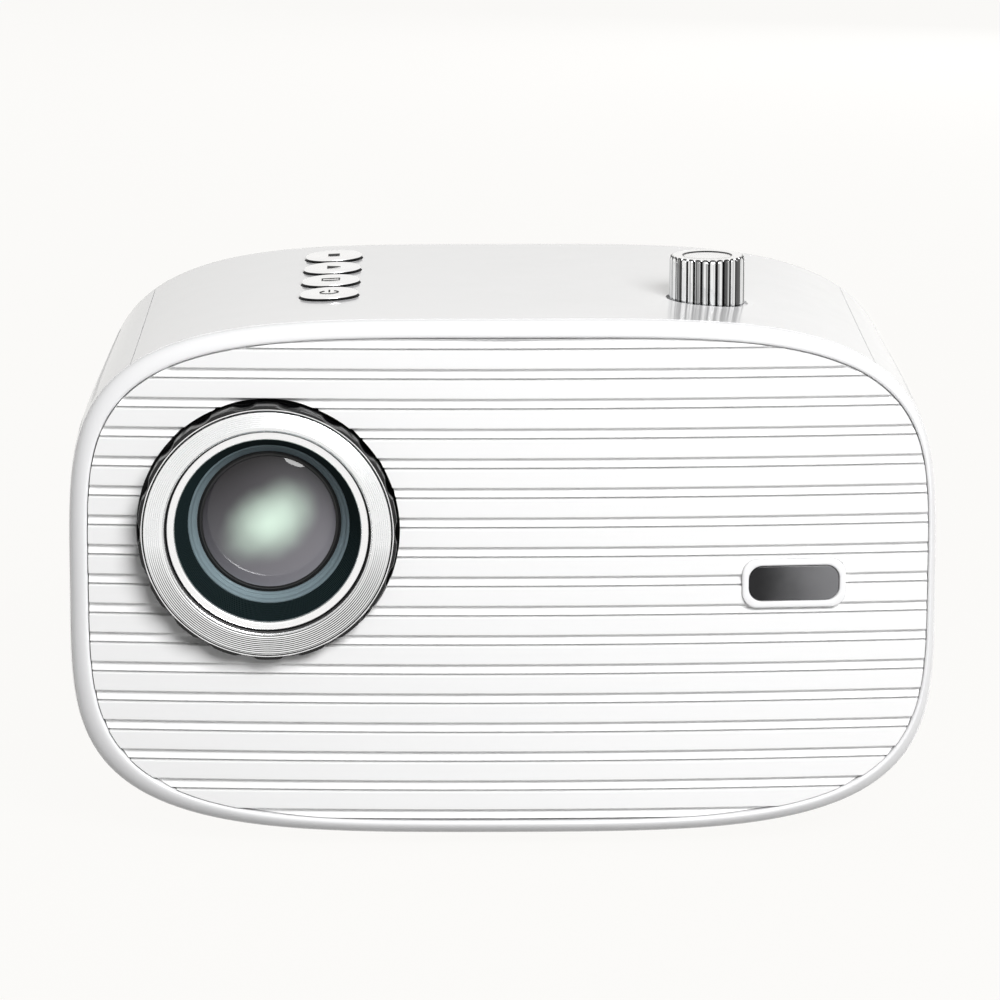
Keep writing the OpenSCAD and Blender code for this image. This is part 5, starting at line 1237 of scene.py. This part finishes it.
# insert with the crests of a quarter-inch thread, one turn every 1.27 mm
low, high = base.insertLow + 0.02, base.insertHigh - 0.02
profile = [[5.9, low], [6.0, low + 0.1], [6.0, high - 0.1], [5.9, high], [3.6, high]]
for turn in range(7):
    z = high - 0.5 - 1.27 * turn
    profile += [[3.55, z], [3.2, z - 0.45], [3.2, z - 0.6], [3.55, z - 1.05]]
profile += [[3.9, low]]
tripodInsert = lathe("tripodInsert", profile, turnedBrass, "up", place(0, 69.65, -body.midZ), 96, 40)
settle(tripodInsert, "housing", "screw_brass", "tripod_insert")
print("underside ready")


# ---- rear, drive and the pieces inside ----
def dress(node, bevel=0.25, segments=2, extras=(), cutters=(), smooth=14):
    # merged copy of a CAD piece in its own finish, edges broken only where a bevel width is given;
    # a bevel of 0 keeps the sharp edges of pieces whose openings a bevel would fold over
    piece = dressedCopy("copy", node, slotFinish[slotOf[node]], bevel, segments, smooth)
    if cutters:
        combine(piece, list(cutters))
        finishMesh(piece, slotFinish[slotOf[node]], smooth, merge=0)
    if extras:
        piece = joined("copy", [piece] + list(extras))
        finishMesh(piece, None, smooth, merge=0)
    piece.name = node + "Dressed"
    settle(piece, nodes[node]["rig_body"], slotOf[node], node)
    return piece


def slab(x0, x1, y0, y1, z0, z1, material, bevel=0.15):
    # small moulded block between two corners: x, depth and height over the rim's centre
    piece = plate([(x0, y0), (x1, y0), (x1, y1), (x0, y1)], z0, z1, material)
    if bevel:
        softenEdges(piece, bevel)
    piece.data.transform(Matrix.Translation(place(0, 0, 0)))
    finishMesh(piece, material, 30, merge=0)
    return piece


# Gold flash on contacts, worn soft
contactGold = makeFinish("contactGold", "d9b45a", 0.28, 1.0, grain=1, mottle=0.1)
# Pickup lens: small violet-blue coated dome
pickupGlass = makeFinish("pickupLensGlass", "1e2748", 0.1, extra={"Coat Weight": 1.0,
                                                                  "Coat Roughness": 0.02})
# Green indicator window of the drive, unlit
indicator = makeFinish("indicatorWindow", "5f8f6a", 0.25, grain=1, mottle=0.1, extra={"Coat Weight": 0.6})

rear = SimpleNamespace(face=142.6, portZ=-22, hdmiX=-62, usbX=-86, jackX=(-42, -30), inletX=-62, inletZ=-42,
                       pinholeX=64, lampX=41, driveZ=-42)
dress("rear_panel", 0)
pinhole = lathe("pinhole", [[0, -6], [0.7, -6], [0.7, 2], [0, 2]], None, "lens",
                place(rear.pinholeX, 143, rear.driveZ), 32)
lamp = slab(rear.lampX - 2.2, rear.lampX + 2.2, 141, 143.15, rear.driveZ - 0.7,
            rear.driveZ + 0.7, indicator, 0.2)
dress("tray_bezel", 0.35, 2, [lamp], [pinhole])
dress("eject_button", 0.35, 3)

tongues = [slab(rear.hdmiX - 5.6, rear.hdmiX + 5.6, 133, 141.2, rear.portZ - 0.2,
                rear.portZ + 1.0, blackAbs, 0.2),
           slab(rear.usbX - 5.7, rear.usbX + 5.7, 131, 141.2, rear.portZ + 0.1,
                rear.portZ + 2.1, blackAbs, 0.2)]
for x, z, count, pitch, width in ((rear.hdmiX, -0.28, 10, 1.0, 0.45), (rear.usbX, 0.0, 4, 2.3, 1.1)):
    first = slab(-width / 2, width / 2, 134, 140.4, rear.portZ + z, rear.portZ + z + 0.2,
                 contactGold, 0.05)
    tongues.append(repeatAlong("contacts", first, count, (pitch, 0, 0), contactGold,
                               (x - pitch * (count - 1) / 2, 0, 0)))
dress("usb_hdmi_ports", 0.14, 2, tongues)

jacks = []
for x in rear.jackX:
    spot = place(x, rear.face, rear.portZ)
    jacks.append(lathe("jack", [[0, -12], [2.1, -12], [2.1, -0.35], [2.75, -0.35], [2.85, -0.1],
                                [3.05, -0.02], [3.75, -0.04], [3.98, -0.3], [3.98, -13], [0, -13]],
                       blackAbs, "lens", spot, 64, 30))
    jacks.append(lathe("bushing", [[1.8, -9], [1.8, -0.2], [1.95, -0.03], [2.45, -0.02], [2.65, -0.2],
                                   [2.65, -9]], chromePlate, "lens", spot, 64, 30))
    jacks.append(slab(x - 4.5, x + 4.5, 129.6, 137.6, rear.portZ - 4.7, rear.portZ + 0.2, blackAbs,
                      0.3))
whole = joined("avJacks", jacks)
finishMesh(whole, None, 30, merge=0)
settle(whole, "housing", "black_plastic", "av_jacks")

pins = [lathe("pin", [[0, -12.5], [1.28, -12.5], [1.28, -2.1], [1.05, -1.6], [0.6, -1.38], [0, -1.35]],
              chromePlate, "lens", place(rear.inletX + x, 142.7, rear.inletZ), 48)
        for x in (-4.3, 4.3)]
dress("power_inlet", 0.4, 3, pins)
print("rear ready")

drive = SimpleNamespace(x=18, hubY=78, recess=-40.65, sledY=55, screwX=36, rodZ=-44.35, screwRadius=1.45,
                        screwStart=14.8, screwEnd=64.3, threadPitch=3.0)
hubSpot = place(drive.x, drive.hubY, 0)


def ringCut(inner, outer, low, high):
    return lathe("ringCut", [[inner, low], [outer, low], [outer, high], [inner, high]], None, "up",
                 hubSpot, 144)


# the recess keeps its 120 mm seat; the shallow rings mark the 80 mm step, the hub and the rim
dress("disc_tray", 0, 2, (), [ringCut(40.0, 40.9, drive.recess - 0.3, drive.recess + 1),
                              ringCut(58.6, 59.4, drive.recess - 0.25, drive.recess + 1),
                              ringCut(19.6, 20.2, drive.recess - 0.25, drive.recess + 1)])

hubParts = [lathe("hub", [[0, -38.5], [3.6, -38.45], [3.9, -38.26], [6.1, -38.26], [6.6, -38.55],
                          [7.3, -39.6], [7.42, -40.1], [8.1, -40.15], [8.2, -40.3], [10.3, -40.3],
                          [10.5, -40.5], [10.5, -43.4], [10.2, -43.65], [1, -43.65], [1, -46.8],
                          [0, -46.8]], trayAbs, "up", hubSpot, 96, 30),
            lathe("rubberRing", [[8.3, -40.35], [8.3, -40.22], [8.5, -40.16], [10.0, -40.16],
                                 [10.2, -40.22], [10.2, -40.35]], footRubber, "up", hubSpot, 96, 30)]
ball = lathe("ball", [[0.85 * math.sin(math.pi * i / 12), -0.85 * math.cos(math.pi * i / 12)]
                      for i in range(13)], chromePlate, "up", (0, 0, 0), 24, 60, False)
ball.data.transform(Matrix.Translation(Vector((6.75, 0, -39.3)) * mm))
hubParts.append(repeatAround("balls", ball, 3, chromePlate, hubSpot))
hub = joined("spindleHub", hubParts)
finishMesh(hub, None, 30, merge=0)
settle(hub, "spindle", slotOf["spindle_hub"], "spindle_hub")

sledSpot = place(drive.x, drive.sledY, 0)
lensParts = [lathe("lensRing", [[2.0, -41.8], [2.0, -41.15], [2.1, -40.98], [2.5, -40.98], [2.75, -41.2],
                                [2.9, -41.8]], blackAndPaintedShade, "up", sledSpot, 64, 30),
             lathe("pickupLens", [[0, -41.0], [0.9, -41.04], [1.5, -41.2], [1.95, -41.5], [1.95, -41.8],
                                  [0, -41.8]], pickupGlass, "up", sledSpot, 64, 60)]
dress("laser_sled", 0.3, 2, lensParts)


def makeScrew():
    # threaded rod: the radius follows the turn and the length, so that it reads as a real screw
    around, length = 32, drive.screwEnd - drive.screwStart
    rows = int(length / 0.2)
    points = []
    for i in range(rows + 1):
        along = length * i / rows
        for k in range(around):
            turn = 2 * math.pi * k / around
            wave = 0.5 + 0.5 * math.cos(turn * 2 - 2 * math.pi * along / (drive.threadPitch / 2))
            radius = drive.screwRadius - 0.28 * min(1.0, 1.6 * wave)
            if along < 1.2 or along > length - 1.2:
                radius = drive.screwRadius - 0.1
            points.append(place(drive.screwX + radius * math.cos(turn), drive.screwStart + along,
                                drive.rodZ + radius * math.sin(turn)))
    faces = quads(rows + 1, around)
    faces += [tuple(range(around - 1, -1, -1)), tuple(rows * around + k for k in range(around))]
    return makeObject("sledScrew", points, faces, turnedBrass, 40)


settle(makeScrew(), "screw", "screw_brass", "sled_screw")
for node, bevel in (("sled_rods", 0.3), ("tray_rails", 0.2), ("spindle_motor", 0),
                    ("drive_chassis", 0), ("drive_cover", 0.3)):
    dress(node, bevel)
print("drive ready")

sink = SimpleNamespace(x0=34.2, x1=70.2, base=4, y=63, z=13.4, half=29, fins=13, fin=1.4)
step = (2 * sink.half - sink.fin) / (sink.fins - 1)
tip = [(sink.x0 + sink.base - 0.5, 0.02), (sink.x1 - 0.8, 0.1), (sink.x1 - 0.3, 0.25),
       (sink.x1 - 0.02, 0.55), (sink.x1 - 0.02, sink.fin - 0.55),
       (sink.x1 - 0.3, sink.fin - 0.25),
       (sink.x1 - 0.8, sink.fin - 0.1), (sink.x0 + sink.base - 0.5, sink.fin - 0.02)]
low = body.midZ + sink.z - sink.half
fin = plate(tip, low + 0.05, low + 2 * sink.half - 0.05, extrudedAluminium)
fins = repeatAlong("fins", fin, sink.fins, (0, step, 0), extrudedAluminium,
                   (0, body.frontY + sink.y, 0))
foot = slab(sink.x0 + 0.02, sink.x0 + sink.base, sink.y, sink.y + 2 * sink.half,
            sink.z - sink.half, sink.z + sink.half, extrudedAluminium, 0.4)
heatSink = joined("heatSink", [fins, foot])
finishMesh(heatSink, None, 30, merge=0)
settle(heatSink, "housing", "sink_metal", "heat_sink")

# Butyl surround of the loudspeakers, a little shinier than the paper
surround = makeFinish("butylSurround", "151517", 0.45, grain=1.5, mottle=0.15)
for side, y, node in ((-1, 100, "left_speaker"), (1, 38, "right_speaker")):
    turn = Matrix.Translation(place(side * 112, y, 10.4)) @ Matrix.Rotation(side * math.pi / 2, 4, "Y")
    cone = lathe("cone", [[0, -3.7], [2.5, -3.85], [4.8, -4.3], [6.6, -5.1], [7.0, -5.5], [9, -4.65],
                          [12, -3.35], [15.2, -1.9], [15.6, -1.75], [15.6, -4], [11, -7], [11, -12.9],
                          [0, -12.9]], conePaper, "up", (0, 0, 0), 96, 30)
    roll = lathe("roll", [[15.5, -2.0], [15.8, -1.5], [16.3, -0.8], [16.9, -0.5], [17.5, -0.8],
                          [17.8, -1.4], [17.9, -2.0]], surround, "up", (0, 0, 0), 96, 60)
    ring = lathe("basket", [[17.7, -0.6], [18.1, -0.1], [18.6, -0.02], [19.7, -0.02], [19.95, -0.3],
                            [19.95, -1.9], [17, -2], [16.9, -3], [15, -4.3], [15, -3.6], [17, -1.9]],
                 blackAbs, "up", (0, 0, 0), 96, 30)
    whole = joined(node + "Dressed", [cone, roll, ring])
    whole.data.transform(turn)
    finishMesh(whole, None, 35, merge=0)
    settle(whole, "housing", "speaker_dark", node)
for node, bevel in (("lens_mount", 0.3), ("light_box", 0.5), ("led_module", 0.2), ("fan_frame", 0),
                    ("fan_rotor", 0.2), ("inner_deck", 0.3), ("button_board", 0.12), ("knob_shaft", 0.3),
                    ("volume_pot", 0.25), ("main_board", 0.12), ("port_board", 0.12),
                    ("power_board", 0.12), ("ir_receiver", 0)):
    dress(node, bevel)
print("inside ready")


# ---- studio ----
studio = SimpleNamespace(background="fbfaf8", worldLevel=0.2, floorSize=14, bounce="7c7c7c", floorShare=0.9,
                         floorGlow=1.095, target=(0, 0, 0.08))
# each lamp in metres: name, place, width, height, brightness of its face, seen in reflections
lamps = (("keySoftbox", (0.5, -1.4, 1.0), 1.0, 0.8, 16.5, True),
         ("rearFill", (0.5, 1.8, 0.35), 1.0, 0.5, 13.0, False),
         ("leftFill", (-1.7, 0.3, 0.35), 0.8, 0.5, 3.2, False),
         ("rightFill", (1.7, 0.2, 0.4), 0.8, 0.5, 3.5, False))
shot = SimpleNamespace(spot=(-0.0165, -1.36905, 0.3745), target=(0, 0.00185, 0.0764), sensor=36, lens=177.75,
                       shiftX=-0.0003, shiftY=0.0224)


def makeWorld():
    world = bpy.data.worlds.new("studioWorld")
    bpy.context.scene.world = world
    world.use_nodes = True
    tree = world.node_tree
    tree.nodes.clear()
    path = addNode(tree, "ShaderNodeLightPath")
    a = addNode(tree, "ShaderNodeMath", {"operation": "MAXIMUM"},
                {0: path.outputs["Is Camera Ray"], 1: path.outputs["Is Glossy Ray"]})
    seen = addNode(tree, "ShaderNodeMath", {"operation": "MAXIMUM"},
                   {0: a, 1: path.outputs["Is Transmission Ray"]})
    light = addNode(tree, "ShaderNodeBackground", {"Color": (1, 1, 1, 1), "Strength": studio.worldLevel})
    shown = addNode(tree, "ShaderNodeBackground", {"Color": toLinear(studio.background),
                                                   "Strength": 1.0})
    both = addNode(tree, "ShaderNodeMixShader", {}, {0: seen, 1: light,
                                                     2: shown})
    addNode(tree, "ShaderNodeOutputWorld", {}, {0: both})


def makeFloor():
    # pale sweep: seen at the background's own colour, and it keeps the object's shadow
    half = studio.floorSize / 2
    mesh = bpy.data.meshes.new("floor")
    mesh.from_pydata([(-half, -half, 0), (half, -half, 0), (half, half, 0), (-half, half, 0)], [],
                     [(0, 1, 2, 3)])
    floor = bpy.data.objects.new("floor", mesh)
    bpy.context.scene.collection.objects.link(floor)
    material = bpy.data.materials.new("paleSweep")
    material.use_nodes = True
    tree = material.node_tree
    tree.nodes.clear()
    path = addNode(tree, "ShaderNodeLightPath")
    seen = addNode(tree, "ShaderNodeMath", {"operation": "MAXIMUM"},
                   {0: path.outputs["Is Camera Ray"], 1: path.outputs["Is Glossy Ray"]})
    share = addNode(tree, "ShaderNodeMath", {"operation": "MULTIPLY", 1: studio.floorShare},
                    {0: seen})
    matt = addNode(tree, "ShaderNodeBsdfDiffuse", {"Color": toLinear(studio.bounce)})
    glow = addNode(tree, "ShaderNodeEmission", {"Color": toLinear(studio.background),
                                                "Strength": studio.floorGlow})
    both = addNode(tree, "ShaderNodeMixShader", {}, {0: share, 1: matt,
                                                     2: glow})
    addNode(tree, "ShaderNodeOutputMaterial", {}, {0: both})
    mesh.materials.append(material)


def aim(item, spot, target):
    item.location = spot
    item.rotation_euler = (Vector(target) - Vector(spot)).to_track_quat("-Z", "Y").to_euler()


def makeLamp(name, spot, width, height, radiance, mirrored):
    # power from the wanted brightness of the lamp's face
    lamp = bpy.data.lights.new(name, "AREA")
    lamp.shape = "ELLIPSE"
    lamp.size, lamp.size_y = width, height
    lamp.energy = radiance * width * height * math.pi * math.pi / 4
    holder = bpy.data.objects.new(name, lamp)
    bpy.context.scene.collection.objects.link(holder)
    aim(holder, spot, studio.target)
    holder.visible_glossy = mirrored


makeWorld()
makeFloor()
for entry in lamps:
    makeLamp(*entry)

view = bpy.data.cameras.new("camera")
view.sensor_width = shot.sensor
view.lens = shot.lens
view.shift_x = shot.shiftX
view.shift_y = shot.shiftY
camera = bpy.data.objects.new("camera", view)
bpy.context.scene.collection.objects.link(camera)
aim(camera, shot.spot, shot.target)
bpy.context.scene.camera = camera
bpy.context.scene.view_settings.view_transform = "Standard"

print("scene ready")
